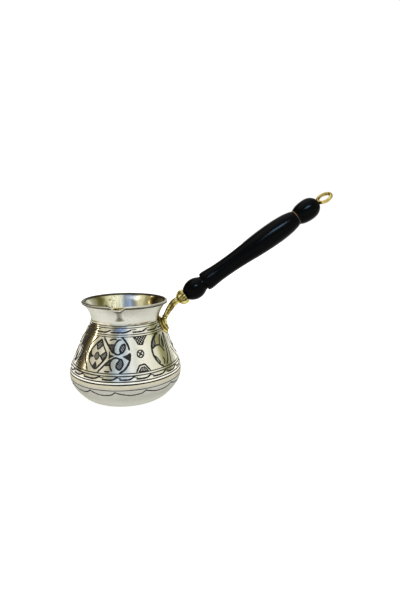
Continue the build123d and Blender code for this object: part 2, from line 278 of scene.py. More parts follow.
def motifs(o):
    """One third of the frieze, turned by o degrees."""
    j = rng.normal(0, 0.22, 900)
    it = iter(j)

    def m(pts):
        if o == 0:
            return [(t, d) for t, d in pts]
        return [(t + o + next(it) * 0.6, d + next(it) * 0.5) for t, d in pts]

    # lozenge medallion: double border, four small lozenges and one in the middle
    cut(m([(-31.5, 24.3), (-36.6, 27.2), (-40.6, 30.6), (-42.0, 33.6), (-42.3, 36.6)]), 0.85)
    cut(m([(-22.6, 24.2), (-18.3, 27.0), (-13.9, 29.9), (-10.4, 32.7), (-7.0, 35.0)]), 1.1)
    cut(m([(-8.4, 38.8), (-11.2, 40.1), (-15.6, 43.0), (-19.3, 45.9), (-22.6, 48.6)]), 1.05)
    cut(m([(-45.0, 36.8), (-44.2, 39.4), (-41.4, 42.3), (-38.3, 45.2), (-35.0, 48.6)]), 1.0)
    cut(m([(-24.8, 25.5), (-30.8, 28.8), (-35.6, 32.9), (-37.6, 35.4), (-38.9, 38.2)]), 1.05)
    cut(m([(-24.4, 26.0), (-21.2, 29.4), (-17.6, 32.6), (-15.2, 35.0), (-14.6, 36.5)]), 0.85)
    cut(m([(-14.4, 36.7), (-17.8, 40.3), (-21.4, 43.3), (-25.2, 46.6)]), 1.15)
    cut(m([(-38.9, 38.2), (-36.4, 41.4), (-32.2, 44.0), (-28.6, 46.0), (-25.2, 46.7)]), 0.8)
    hatch(m([(-25.0, 26.0), (-30.6, 29.4), (-27.4, 33.2), (-21.6, 30.0)]), pitch=1.12, w=0.80, angle=40, closed_curve=False, outline=0.8)
    fill(m([(-36.2, 34.0), (-38.6, 38.2), (-35.9, 41.2), (-35.4, 39.1), (-31.0, 38.2), (-34.8, 37.0)]))
    hatch(m([(-26.6, 34.8), (-30.0, 37.5), (-27.0, 40.2), (-24.0, 37.6)]), pitch=0.98, w=0.66, angle=70, outline=0.7)
    hatch(m([(-16.0, 34.0), (-22.6, 37.2), (-19.2, 40.2), (-14.5, 36.6)]), pitch=1.10, w=0.80, angle=48, closed_curve=False, outline=0.8)
    fill(m([(-27.2, 41.5), (-30.2, 45.0), (-25.8, 46.2), (-24.9, 44.2)]))
    # two scrolls, one above the other, in a bow
    cut(m([(0.8, 23.8), (4.2, 25.0), (7.4, 27.2), (9.9, 30.0), (11.2, 33.2)]), 1.15)
    cut(m([(2.2, 25.9), (-0.6, 25.7), (-3.6, 26.7), (-5.9, 28.6), (-7.0, 30.9), (-6.9, 33.3), (-5.2, 35.0), (-2.4, 35.8), (0.4, 35.3), (2.2, 34.2)]), 1.05)
    hatch(m([(5.1, 28.6), (2.0, 29.6), (0.4, 31.4), (0.2, 33.4), (1.9, 34.8), (4.3, 33.9), (6.0, 31.9), (6.4, 30.0)]), pitch=1.25, w=0.82, angle=62, outline=0.95)
    cut(m([(-14.2, 26.4), (-10.4, 25.5), (-7.0, 25.2), (-4.2, 25.7)]), 1.0)
    hatch(m([(-14.6, 29.2), (-6.6, 28.9), (-7.6, 32.0), (-7.0, 34.9)]), pitch=1.02, w=0.78, angle=82, closed_curve=False, outline=0.7)
    cut(m([(-7.0, 47.3), (-9.2, 44.9), (-10.1, 42.4), (-9.3, 40.2), (-7.1, 38.6), (-4.1, 38.0), (-1.1, 38.5), (1.2, 39.6)]), 1.1)
    hatch(m([(1.2, 38.9), (-0.9, 40.4), (-2.9, 42.4), (-3.2, 44.2), (-1.7, 45.5), (0.2, 46.2), (2.4, 44.7), (3.8, 42.6), (3.2, 40.4)]), pitch=1.05, w=0.55, angle=48, cross=True, outline=1.0)
    cut(m([(11.9, 34.9), (11.5, 38.0), (10.4, 41.1), (7.9, 44.2), (4.3, 46.8), (-0.2, 48.6)]), 1.2)
    fill(m([(11.9, 34.8), (8.6, 36.2), (3.6, 37.3), (6.6, 38.3), (9.2, 39.7), (11.4, 38.6)]))
    fill(m([(-12.0, 33.6), (-10.9, 36.0), (-6.2, 36.8), (-10.0, 37.7), (-11.9, 38.8)]))
    hatch(m([(-9.8, 39.6), (-15.6, 43.5), (-10.4, 43.3)]), pitch=1.0, w=0.76, angle=30, closed_curve=False, outline=0.7)
    cut(m([(-15.6, 47.2), (-12.2, 47.6), (-9.0, 47.3)]), 0.95)
    # open panel: hatched wedge above, crossed ring, hatched hill below
    hatch(m([(17.0, 24.1), (36.4, 24.1), (31.2, 26.8), (28.2, 30.0), (22.2, 29.6), (20.2, 26.8)]), pitch=1.62, w=0.86, angle=45, cross=True, closed_curve=False, outline=0.6)
    c, rr = (23.6, 36.1), 2.55
    cut(m([(c[0] + rr / 0.66 * math.cos(a), c[1] + rr * math.sin(a)) for a in np.radians(np.arange(0, 360, 36))]), 0.82, closed=True)
    for a in (38, 128):
        x, y = math.cos(math.radians(a)), math.sin(math.radians(a))
        cut(m([(c[0] - 2.3 / 0.66 * x, c[1] - 2.3 * y), (c[0] + 2.3 / 0.66 * x, c[1] + 2.3 * y)]), 0.92)
    cut(m([(16.9, 48.6), (19.0, 46.2), (20.9, 44.2), (23.2, 43.9), (26.6, 43.8), (29.2, 46.0), (31.9, 48.6)]), 1.0)
    hatch(m([(19.6, 48.3), (22.6, 45.6), (26.0, 45.3), (29.6, 48.4)]), pitch=1.12, w=0.74, angle=-62, closed_curve=False, outline=0.6)
    # tall oval with a leaf curve through it
    cut(m([(57.7, 24.3), (53.2, 24.7), (49.0, 25.6), (43.8, 27.9), (40.2, 31.0), (38.9, 34.8), (39.5, 39.2), (42.0, 43.2), (45.4, 46.4), (49.4, 48.4)]), 1.25)
    hatch(m([(50.4, 25.6), (46.6, 28.2), (46.2, 31.0), (40.2, 34.0), (40.4, 31.0), (43.8, 28.1)]), pitch=1.05, w=0.74, angle=20, outline=0.7)
    cut(m([(40.0, 34.4), (43.8, 32.9), (48.4, 32.3), (52.4, 33.2), (55.6, 35.8), (57.4, 38.6)]), 1.05)
    cut(m([(61.2, 25.6), (57.0, 27.8), (54.2, 30.2), (52.5, 33.0)]), 0.95)
    cut(m([(69.5, 25.4), (66.4, 28.4), (64.4, 31.6), (63.0, 35.6), (61.6, 40.0), (58.6, 44.4), (53.8, 47.9)]), 1.05)
    cut(m([(51.2, 42.0), (53.0, 44.2), (50.6, 47.2)]), 1.0)
    hatch(m([(40.6, 39.6), (43.4, 41.2), (46.2, 44.8), (43.6, 44.4)]), pitch=0.95, w=0.55, angle=70, outline=0.65)
    # ribbed leaf that closes the group
    cut(m([(71.8, 25.0), (68.4, 30.0), (66.9, 35.0), (66.0, 40.0), (64.4, 44.0), (61.8, 48.4)]), 0.95)


for turn in (0, -120, -240):
    motifs(turn)

# dark leaves beside the ribbed one
for o in (-120, -240, 0):
    fill([(63.2 + o, 26.6), (58.4 + o, 29.8), (56.2 + o, 33.6), (58.8 + o, 35.4), (61.2 + o, 32.2)])
    fill([(57.2 + o, 39.8), (54.2 + o, 38.2), (52.2 + o, 41.2), (54.4 + o, 46.4), (57.6 + o, 43.6)]) if o else None
    if o:
        hatch([(49.0 + o, 26.8), (44.6 + o, 29.8), (42.4 + o, 32.6), (47.0 + o, 31.4)], pitch=1.0, w=0.8, angle=35, closed_curve=False, outline=0.7)
        hatch([(43.0 + o, 36.6), (49.8 + o, 34.8), (50.6 + o, 39.0), (46.4 + o, 43.0)], pitch=1.05, w=0.85, angle=60, closed_curve=False, outline=0.8)
        hatch([(66.2 + o, 36.4), (70.4 + o, 33.0), (69.6 + o, 40.6), (65.2 + o, 44.4)], pitch=1.1, w=0.8, angle=50, closed_curve=False, outline=0.7)

# turned lines
for d, w in ((16.3, 0.62), (17.8, 0.70), (22.5, 0.72), (23.9, 0.62)):
    ring(d, w, 0.03)
for d, w in ((48.9, 0.80), (50.6, 0.90), (54.7, 0.95), (56.8, 1.10)):
    ring(d, w, 0.04)
ring(61.1, 0.66, 0.05)

# running wave between the turned lines, a long low cut that climbs to the next
up = [-37.0, -14.0, 17.5, 41.0, 64.5, 90.5, 116.0, 141.5, 168.0, 194.0, 219.5, 246.0, 272.0, 298.0]
for i, a in enumerate(up):
    p = (up[i + 1] if i + 1 < len(up) else up[0] + 360) - a
    o = -360 if a > SEAM else 0
    a = a + o
    cut([(a, 20.8), (a + p * 0.45, 20.9), (a + p * 0.66, 20.7), (a + p * 0.90, 19.5)], 0.95, taper=False)
    cut([(a + p * 0.86, 19.2), (a + p * 1.20, 19.0)], 0.5)
lo = [-38.0, -16.5, 0.5, 16.5, 33.5, 52.0, 70.0, 88.5, 106.5, 125.0, 143.0, 161.5, 179.5, 198.0, 216.0, 234.5, 252.5, 271.0, 289.0, 305.5]
for i, a in enumerate(lo):
    p = (lo[i + 1] if i + 1 < len(lo) else lo[0] + 360) - a
    o = -360 if a > SEAM else 0
    a = a + o
    cut([(a, 52.9), (a + p * 0.40, 53.1), (a + p * 0.60, 52.9), (a + p * 0.70, 52.4), (a + p * 0.88, 51.1)], 1.0, taper=False)
    cut([(a + p * 0.86, 51.6), (a + p * 1.10, 51.8)], 0.5)

# scalloped line under the belly
cusps = [-29.3, -3.8, 25.0, 55.7, 84.0, 111.5, 139.8, 167.0, 195.2, 222.0, 249.8, 276.4, 304.0]
cusps = cusps + [cusps[0] + 360]
for a, b in zip(cusps[:-1], cusps[1:]):
    dep = [62.4, 63.9, 64.9, 65.3, 65.2, 64.3, 62.5]
    jit = rng.normal(0, 0.12, 7)
    pts = [(a + (b - a) * u, d + e) for u, d, e in zip((0, 0.17, 0.36, 0.52, 0.70, 0.87, 1.0), dep, jit)]
    pts[0] = (a, 62.5)
    pts[-1] = (b, 62.5)
    o = -360 if a > SEAM else 0
    cut([(t + o, d) for t, d in pts], 0.78, taper=False)

# copies for what crosses the seam
for st in list(strokes):
    if st[0].max() > T1 and st[0].min() > T0:
        strokes.append((st[0] - 360, st[1], st[2], st[3]))
    elif st[0].min() < T0 and st[0].max() < T1:
        strokes.append((st[0] + 360, st[1], st[2], st[3]))
for pl in list(fills):
    if pl[:, 0].max() > T1:
        fills.append(pl - [360, 0])
    elif pl[:, 0].min() < T0:
        fills.append(pl + [360, 0])

KX = 0.70     # mm per degree used for triangulating


def cut_depth(t, s, inside_only=False):
    """Depth of cut at points, in mm, and whether each is inside a cut."""
    dep = np.zeros(len(t))
    inn = np.zeros(len(t), bool)
    k = r_of(s) * math.pi / 180
    order = np.argsort(t)
    ts = t[order]
    for st, ss, sw, sd in strokes:
        pad = sw.max() / 2 + 0.05
        lo, hi = np.searchsorted(ts, [st.min() - pad / 0.45, st.max() + pad / 0.45])
        idx = order[lo:hi]
        if len(idx) == 0:
            continue
        idx = idx[(s[idx] > ss.min() - pad) & (s[idx] < ss.max() + pad)]
        if len(idx) == 0:
            continue
        if st[-1] - st[0] > 300:      # rings: only the near segments matter
            seg = np.clip(np.searchsorted(st, t[idx]) - 1, 0, len(st) - 2)
            ax, ay = st[seg], ss[seg]
            bx, by = st[seg + 1], ss[seg + 1]
            wa, wb = sw[seg], sw[seg + 1]
            ax, ay, bx, by, wa, wb = (v[:, None] for v in (ax, ay, bx, by, wa, wb))
        else:
            ax, ay, bx, by = st[None, :-1], ss[None, :-1], st[None, 1:], ss[None, 1:]
            wa, wb = sw[None, :-1], sw[None, 1:]
        kk = k[idx][:, None]
        px, py = t[idx][:, None], s[idx][:, None]
        ux, uy = (bx - ax) * kk, by - ay
        vx, vy = (px - ax) * kk, py - ay
        f = np.clip((ux * vx + uy * vy) / np.maximum(ux * ux + uy * uy, 1e-9), 0, 1)
        d = np.hypot(vx - f * ux, vy - f * uy)
        half = (wa + (wb - wa) * f) / 2
        q = np.where(d < half - 1e-4, 1 - d / half, 0)
        q = q.max(1)
        c = sd * np.clip(q * 1.35, 0, 1)
        dep[idx] = np.maximum(dep[idx], c)
        inn[idx] |= q > 0
    for pl in fills:
        idx = np.nonzero((t > pl[:, 0].min()) & (t < pl[:, 0].max()) & (s > pl[:, 1].min()) & (s < pl[:, 1].max()))[0]
        if len(idx) == 0:
            continue
        m = inside(pl, t[idx], s[idx])
        idx = idx[m]
        dep[idx] = np.maximum(dep[idx], 0.17)
        inn[idx] = True
    return dep, inn


def columns():
    """Angles of the pot's columns, closer together at the pouring lip."""
    t = set(np.round(np.arange(T0, T1 + 0.01, 3.0), 4))
    t |= set(np.round(np.arange(-13.5, 10.6, 1.0), 4))
    return np.array(sorted(t))


COLS = columns()


def build_wall():
    """Triangulated outer wall with the ornament cut into it."""
    verts, edges = [], []

    def add(p):
        verts.append(p)
        return len(verts) - 1

    # frame of the sheet
    rows = np.concatenate([np.arange(0, S_END, 1.25), [S_END]])
    if rows[-1] - rows[-2] < 0.5:
        rows = np.delete(rows, -2)
    for x in (T0, T1):
        ids = [add((x, s)) for s in rows]
        edges += list(zip(ids[:-1], ids[1:]))
    for s in (0.0, S_END):
        ids = [add((x, s)) for x in COLS]
        edges += list(zip(ids[:-1], ids[1:]))
    for st, ss, sw, sd in strokes:
        k = r_of(ss) * math.pi / 180
        x, y = st * k, ss
        # local metric tangent
        dx = np.gradient(st) * k
        dy = np.gradient(ss)
        l = np.maximum(np.hypot(dx, dy), 1e-9)
        nx, ny = -dy / l, dx / l
        a = [add((float(p), float(q))) for p, q in zip(st + nx * sw / 2 / k, ss + ny * sw / 2)]
        b = [add((float(p), float(q))) for p, q in zip(st - nx * sw / 2 / k, ss - ny * sw / 2)]
        c = [add((float(p), float(q))) for p, q in zip(st, ss)]
        for g in (a, b, c):
            edges += list(zip(g[:-1], g[1:]))
        closed = abs(st[0] - st[-1]) < 1e-6 and abs(ss[0] - ss[-1]) < 1e-6
        if not closed:
            edges += [(a[0], b[0]), (a[-1], b[-1])]
    # free points, away from the cuts
    g = []
    for s in rows[1:-1]:
        step = 3.0 if (s < 14 or s > s_of_depth(66.5) or abs(s - 14) < 0) else 3.0
        for x in (COLS if s < 16 else np.arange(T0 + 3, T1 - 0.1, step)):
            if T0 + 0.5 < x < T1 - 0.5:
                g.append((x, s))
    g = np.array(g)
    # the neck needs more columns at the fold only
    have = np.array(verts)
    hx, hy = have[:, 0] * KX, have[:, 1]
    cell = {}
    for i, (x, y) in enumerate(zip(np.floor(hx / 0.5).astype(int), np.floor(hy / 0.5).astype(int))):
        cell.setdefault((x, y), []).append(i)
    keep = []
    for p in g:
        cx, cy = int(math.floor(p[0] * KX / 0.5)), int(math.floor(p[1] / 0.5))
        near = False
        for dx in (-1, 0, 1):
            for dy in (-1, 0, 1):
                for i in cell.get((cx + dx, cy + dy), ()):
                    if math.hypot(hx[i] - p[0] * KX, hy[i] - p[1]) < 0.42:
                        near = True
                        break
        if not near:
            keep.append(p)
    for p in keep:
        add((float(p[0]), float(p[1])))
    v2 = [Vector((x * KX, y)) for x, y in verts]
    out = delaunay_2d_cdt(v2, edges, [], 0, 1e-4, False)
    vc = np.array([(p[0] / KX, p[1]) for p in out[0]])
    tri = np.array([f for f in out[2] if len(f) == 3])
    cen = vc[tri].mean(1)
    ok = (cen[:, 0] > T0) & (cen[:, 0] < T1) & (cen[:, 1] > 0) & (cen[:, 1] < S_END)
    # no sliver without area
    a, b, c = vc[tri[:, 0]], vc[tri[:, 1]], vc[tri[:, 2]]
    area = (b[:, 0] - a[:, 0]) * (c[:, 1] - a[:, 1]) - (b[:, 1] - a[:, 1]) * (c[:, 0] - a[:, 0])
    ok &= np.abs(area) > 1e-7
    tri, area, cen = tri[ok], area[ok], cen[ok]
    tri[area > 0] = tri[area > 0][:, ::-1]
    dep, _ = cut_depth(vc[:, 0], vc[:, 1])
    _, cut_face = cut_depth(cen[:, 0], cen[:, 1])
    pos = outer_point(vc[:, 0], vc[:, 1])
    nrm = outer_normal(vc[:, 0], vc[:, 1])
    pos = pos - nrm * dep[:, None]
    return pos, nrm, tri, cut_face


def inner_curve():
    """Lip and inside, from under the lip over the top and down to the middle of the floor: r, z."""
    lip = [(33.35, 77.4), (33.9, 77.42), (34.4, 77.6), (34.8, 77.95), (34.98, 78.45), (35.02, 78.95), (34.93, 79.3), (34.65, 79.62),
           (34.2, 79.88), (33.7, 79.97), (33.2, 79.86), (32.85, 79.55), (32.6, 79.05), (32.45, 78.3)]
    # wall, offset inwards
    tr, tz = np.gradient(GR), np.gradient(GZ)
    l = np.hypot(tr, tz)
    nx, nz = tz / l, -tr / l
    sgn = np.where(nx > 0, -1.0, 1.0)
    ir, iz = GR + nx * sgn * WALL, GZ + nz * sgn * WALL
    m = (iz < 77.2) & (iz > 1.6)
    ir, iz = ir[m], iz[m]
    step = np.linspace(0, len(ir) - 1, 46).astype(int)
    wall = list(zip(ir[step], iz[step]))
    fl = [(32.5, 1.24), (30.6, WALL)] + [(r, WALL) for r in (25, 20, 15, 10, 5, 2)]
    return lip, wall, fl


def build_rest():
    """Lip, inside and underside, as rings of quads."""
    lip, wall, floor_ = inner_curve()
    path = [(r, z, "lip") for r, z in lip] + [(r, z, "in") for r, z in wall] + [(r, z, "in") for r, z in floor_]
    pos, tri, mat = [], [], []
    rings = []
    for r, z, _ in path:
        p = place(COLS[:-1], np.full(len(COLS) - 1, r), np.full(len(COLS) - 1, z))
        rings.append(len(pos) and sum(len(q) for q in pos) or 0)
        pos.append(p)
    n = len(COLS) - 1
    faces = []
    for i in range(len(path) - 1):
        a, b = i * n, (i + 1) * n
        for j in range(n):
            k = (j + 1) % n
            faces.append((a + j, a + k, b + k, b + j))
            mat.append(0)
    pos = np.concatenate(pos)
    mid = len(pos)
    pos = np.vstack([pos, [[0, 0, WALL]]])
    b = (len(path) - 1) * n
    for j in range(n):
        faces.append((b + j, b + (j + 1) % n, mid))
        mat.append(0)
    # underside: flat with two shallow turned rings
    start = len(pos)
    under = [(BASE_R, 0.0), (28.0, 0.0), (27.6, 0.12), (27.0, 0.12), (26.6, 0.0), (20, 0.0), (14.4, 0.0), (14.0, 0.1), (13.6, 0.1), (13.2, 0.0), (6, 0.0), (1.2, 0.0)]
    up = [place(COLS[:-1], np.full(n, r), np.full(n, z)) for r, z in under]
    pos = np.vstack([pos] + up)
    for i in range(len(under) - 1):
        a, b = start + i * n, start + (i + 1) * n
        for j in range(n):
            k = (j + 1) % n
            faces.append((a + k, a + j, b + j, b + k)[::-1])
            mat.append(0)
    mid = len(pos)
    pos = np.vstack([pos, [[0, 0, 0.0]]])
    b = start + (len(under) - 1) * n
    for j in range(n):
        faces.append((b + (j + 1) % n, b + j, mid)[::-1])
        mat.append(0)
    return pos, faces, mat


def new_mesh(name, verts, faces, mats, mat_index=None, smooth_all=True):
    me = bpy.data.meshes.new(name)
    me.from_pydata([tuple(v) for v in verts], [], [tuple(int(i) for i in f) for f in faces])
    for m in mats:
        me.materials.append(m)
    if mat_index is not None:
        me.polygons.foreach_set("material_index", np.array(mat_index, np.int32))
    me.polygons.foreach_set("use_smooth", np.full(len(me.polygons), smooth_all))
    me.update()
    o = bpy.data.objects.new(name, me)
    scene.collection.objects.link(o)
    return o


# ------------------------------------------------------------------ materials
class Nodes:
    """Small helper for wiring node trees."""

    def __init__(self, name):
        self.m = bpy.data.materials.new(name)
        self.m.use_nodes = True
        self.t = self.m.node_tree
        self.t.nodes.clear()
        self.out = self.t.nodes.new("ShaderNodeOutputMaterial")
        self.bsdf = self.t.nodes.new("ShaderNodeBsdfPrincipled")
        self.t.links.new(self.bsdf.outputs[0], self.out.inputs[0])
        self.coord = self.t.nodes.new("ShaderNodeTexCoord")

    def link(self, a, b):
        self.t.links.new(a, b)

    def add(self, kind, **kw):
        n = self.t.nodes.new(kind)
        for k, v in kw.items():
            setattr(n, k, v)
        return n

    def math(self, op, a, b=None, c=None, clamp=False):
        n = self.add("ShaderNodeMath", operation=op, use_clamp=clamp)
        for i, v in enumerate((a, b, c)):
            if v is None:
                continue
            if isinstance(v, (int, float)):
                n.inputs[i].default_value = v
            else:
                self.link(v, n.inputs[i])
        return n.outputs[0]

    def xyz(self, vec=None):
        n = self.add("ShaderNodeSeparateXYZ")
        self.link(vec if vec is not None else self.coord.outputs["Object"], n.inputs[0])
        return n.outputs

    def combine(self, x, y, z):
        n = self.add("ShaderNodeCombineXYZ")
        for i, v in enumerate((x, y, z)):
            if isinstance(v, (int, float)):
                n.inputs[i].default_value = v
            else:
                self.link(v, n.inputs[i])
        return n.outputs[0]

    def noise(self, vec, scale, detail=3.0, rough=0.55, dist=0.0):
        n = self.add("ShaderNodeTexNoise")
        n.inputs["Scale"].default_value = scale
        n.inputs["Detail"].default_value = detail
        n.inputs["Roughness"].default_value = rough
        n.inputs["Distortion"].default_value = dist
        self.link(vec if vec is not None else self.coord.outputs["Object"], n.inputs["Vector"])
        return n.outputs["Fac"]

    def ramp(self, fac, stops, interp="LINEAR"):
        n = self.add("ShaderNodeValToRGB")
        n.color_ramp.interpolation = interp
        el = n.color_ramp.elements
        while len(el) > 1:
            el.remove(el[-1])
        el[0].position = stops[0][0]
        el[0].color = (*stops[0][1], 1) if len(stops[0][1]) == 3 else stops[0][1]
        for p, c in stops[1:]:
            e = el.new(p)
            e.color = (*c, 1) if len(c) == 3 else c
        self.link(fac, n.inputs[0])
        return n.outputs[0]

    def mapr(self, v, a, b, c, d, smooth_=False):
        n = self.add("ShaderNodeMapRange")
        if smooth_:
            n.interpolation_type = "SMOOTHSTEP"
        self.link(v, n.inputs[0])
        for i, x in enumerate((a, b, c, d)):
            n.inputs[i + 1].default_value = x
        return n.outputs[0]

    def mix(self, fac, a, b, blend="MIX"):
        n = self.add("ShaderNodeMix", data_type="RGBA", blend_type=blend)
        for s, v in ((n.inputs[0], fac), (n.inputs[6], a), (n.inputs[7], b)):
            if isinstance(v, (int, float)):
                s.default_value = v
            elif isinstance(v, tuple):
                s.default_value = (*v, 1) if len(v) == 3 else v
            else:
                self.link(v, s)
        return n.outputs[2]

    def bump(self, height, strength, dist, prev=None):
        n = self.add("ShaderNodeBump")
        n.inputs["Strength"].default_value = strength
        n.inputs["Distance"].default_value = dist
        self.link(height, n.inputs["Height"])
        if prev is not None:
            self.link(prev, n.inputs["Normal"])
        return n.outputs[0]

    def set(self, **kw):
        for k, v in kw.items():
            s = self.bsdf.inputs[k]
            if isinstance(v, (int, float)):
                s.default_value = v
            elif isinstance(v, tuple):
                s.default_value = (*v, 1) if len(v) == 3 else v
            else:
                self.link(v, s)


def tin_material(name, inside_pot=False):
    """Tinned copper: satin and finely brushed at neck and bowl, polished over the engraved band."""
    k = Nodes(name)
    x, y, z = k.xyz()
    ang = k.math("ARCTAN2", y, x)
    rad = k.math("SQRT", k.math("ADD", k.math("MULTIPLY", x, x), k.math("MULTIPLY", y, y)))
    # brushing runs round the pot
    brush = k.noise(k.combine(k.math("MULTIPLY", ang, 1.1), k.math("MULTIPLY", rad, 220), k.math("MULTIPLY", z, 2600)), 1.0, 2.5, 0.6)
    fine = k.noise(k.combine(k.math("MULTIPLY", ang, 3.2), k.math("MULTIPLY", rad, 700), k.math("MULTIPLY", z, 7200)), 1.0, 2.0, 0.6)
    cloud = k.noise(None, 55, 4, 0.6)
    blot = k.noise(None, 190, 3, 0.6)
    if inside_pot:
        rough = k.math("ADD", k.mapr(brush, 0.3, 0.7, 0.07, 0.14), k.mapr(cloud, 0.35, 0.7, 0.0, 0.06))
        # painted reflections: round the inside the colour runs in uneven upright bands of cream, blue-grey, olive and
        # brown that stand for the room reflected in the tin; dark spots over the cream band and faint darker upright
        # streaks are laid over them
        turn = k.math("ADD", k.math("MULTIPLY", k.math("ARCTAN2", x, y), 0.5 / math.pi), 0.5)
        turn = k.math("ADD", turn, k.mapr(k.noise(None, 60, 3, 0.6), 0.3, 0.7, -0.008, 0.008))
        col = k.ramp(turn, [
            (0.00, (0.70, 0.66, 0.50)), (0.30, (0.66, 0.62, 0.46)), (0.355, (0.34, 0.31, 0.18)), (0.385, (0.50, 0.46, 0.30)), (0.405, (0.92, 0.88, 0.62)),
            (0.462, (0.97, 0.94, 0.72)), (0.474, (0.44, 0.47, 0.50)), (0.50, (0.46, 0.50, 0.56)), (0.530, (0.52, 0.57, 0.64)), (0.540, (0.90, 0.86, 0.64)),
            (0.572, (0.84, 0.80, 0.56)), (0.584, (0.55, 0.50, 0.28)), (0.612, (0.42, 0.37, 0.20)), (0.640, (0.26, 0.21, 0.11)), (0.660, (0.56, 0.55, 0.50)),
            (0.72, (0.66, 0.64, 0.56)), (1.00, (0.70, 0.66, 0.50)),
        ])
        spots = k.mapr(k.noise(k.combine(k.math("MULTIPLY", x, 420), k.math("MULTIPLY", y, 420), k.math("MULTIPLY", z, 300)), 1.0, 3, 0.65), 0.54, 0.64, 0, 1)
        where = k.math("MULTIPLY", k.mapr(turn, 0.395, 0.41, 0, 1), k.mapr(turn, 0.445, 0.462, 1, 0))
        col = k.mix(k.math("MULTIPLY", spots, where), col, (0.20, 0.15, 0.07))
        streak = k.mapr(k.noise(k.combine(k.math("MULTIPLY", ang, 26), 0.0, k.math("MULTIPLY", z, 60)), 1.0, 3, 0.6), 0.42, 0.66, 0, 0.45)
        col = k.mix(streak, col, (0.30, 0.26, 0.16))
        nb = k.bump(brush, 0.12, 0.0002)
        k.set(**{"Base Color": col, "Metallic": 1.0, "Roughness": rough, "Normal": nb})
        return k.m
    # polished band between the neck and the belly, with an uneven edge
    wob = k.mapr(k.noise(None, 70, 2, 0.5), 0.3, 0.7, -0.0006, 0.0006)
    zz = k.math("ADD", z, wob)
    front = k.math("COSINE", k.math("ADD", ang, math.pi / 2 + 0.03))
    sag = k.math("MULTIPLY", k.mapr(front, 0.955, 1.0, 0, 1, True), -0.0016)
    zu = k.math("SUBTRACT", zz, sag)
    up = k.mapr(zu, 0.0644, 0.0654, 1, 0, True)
    lo = k.mapr(zz, 0.0222, 0.0236, 0, 1, True)
    band = k.math("MULTIPLY", up, lo)
    satin = k.math("ADD", k.mapr(brush, 0.3, 0.7, 0.34, 0.46), k.mapr(cloud, 0.3, 0.7, -0.03, 0.05))
    polish = k.math("ADD", k.mapr(fine, 0.3, 0.7, 0.075, 0.115), k.mapr(cloud, 0.35, 0.75, 0.0, 0.05))
    rough = k.math("ADD", k.math("MULTIPLY", band, polish), k.math("MULTIPLY", k.math("SUBTRACT", 1.0, band), satin))
    warm = k.mix(k.mapr(cloud, 0.3, 0.7, 0, 1), (0.87, 0.83, 0.72), (0.84, 0.81, 0.73))
    warm = k.mix(k.mapr(blot, 0.55, 0.8, 0, 0.35), warm, (0.72, 0.64, 0.47))
    cool = k.mix(k.mapr(cloud, 0.3, 0.7, 0, 1), (0.62, 0.61, 0.54), (0.54, 0.53, 0.47))
    cool = k.mix(k.mapr(brush, 0.35, 0.75, 0, 0.45), cool, (0.46, 0.455, 0.40))
    # painted reflection: below the belly the tin is given a darker tone, lighter again near the base and warmer just
    # under the band, matching how bright the reflected floor and room look there
    low = k.mix(k.mapr(cloud, 0.3, 0.7, 0, 1), (0.47, 0.465, 0.42), (0.41, 0.405, 0.36))
    low = k.mix(k.mapr(brush, 0.35, 0.75, 0, 0.4), low, (0.31, 0.30, 0.245))
    low = k.mix(k.mapr(zz, 0.0050, 0.0120, 1, 0, True), low, (0.56, 0.555, 0.50))
    low = k.mix(k.mapr(zz, 0.0190, 0.0215, 0, 0.8, True), low, (0.56, 0.51, 0.38))
    cool = k.mix(k.mapr(zz, 0.030, 0.036, 1, 0), cool, low)
    # painted shade: a darker wedge and a narrow darker stem down the fold of the pouring lip; painted reflection of the
    # brass bracket: dark olive-brown on the neck behind the handle
    off = k.math("ABSOLUTE", k.math("ADD", ang, math.pi / 2 + math.radians(1.6)))
    fold_painted_shade = k.math("MULTIPLY", k.mapr(zz, 0.0672, 0.0678, 0, 1, True), k.mapr(zz, 0.0692, 0.0722, 1, 0, True))
    wide = k.mapr(zz, 0.0676, 0.0715, 0.150, 0.022)
    fold_painted_shade = k.math("MULTIPLY", fold_painted_shade, k.math("SUBTRACT", 1.0, k.mapr(k.math("DIVIDE", off, wide), 0.65, 1.15, 0, 1, True)))
    cool = k.mix(k.math("MULTIPLY", fold_painted_shade, 0.85), cool, (0.235, 0.23, 0.165))
    fold_stem_painted_shade = k.math("MULTIPLY", k.mapr(zz, 0.0700, 0.0725, 0, 1, True), k.mapr(off, 0.030, 0.045, 1, 0, True))
    cool = k.mix(k.math("MULTIPLY", fold_stem_painted_shade, 0.45), cool, (0.30, 0.29, 0.23))
    behind = k.math("MULTIPLY", k.mapr(k.math("ABSOLUTE", ang), 0.26, 0.42, 1, 0, True), k.mapr(zz, 0.0600, 0.0660, 0, 1, True))
    behind = k.math("MULTIPLY", behind, k.mapr(zz, 0.0745, 0.0775, 1, 0, True))
    col = k.mix(band, cool, warm)
    # copper shows through a little at the turned edge of the neck and where the tin is rubbed
    edge = k.math("MULTIPLY", k.mapr(zu, 0.0638, 0.0645, 0, 1, True), k.mapr(zu, 0.0650, 0.0658, 1, 0, True))
    edge = k.math("MULTIPLY", edge, k.mapr(k.noise(None, 62, 3, 0.6), 0.40, 0.56, 0.25, 1.0))
    warm_part = k.math("MULTIPLY", k.mapr(k.noise(None, 38, 2, 0.5), 0.40, 0.60, 0, 1), k.mapr(k.math("COSINE", k.math("ADD", ang, math.pi / 2 + 0.2)), 0.88, 0.96, 0.12, 1, True))
    rub = k.mix(warm_part, (0.17, 0.15, 0.06), (0.40, 0.20, 0.10))
    col = k.mix(edge, col, rub)
    # painted reflection of the brass bracket on the neck behind the handle
    col = k.mix(k.math("MULTIPLY", behind, 0.92), col, (0.22, 0.17, 0.035))
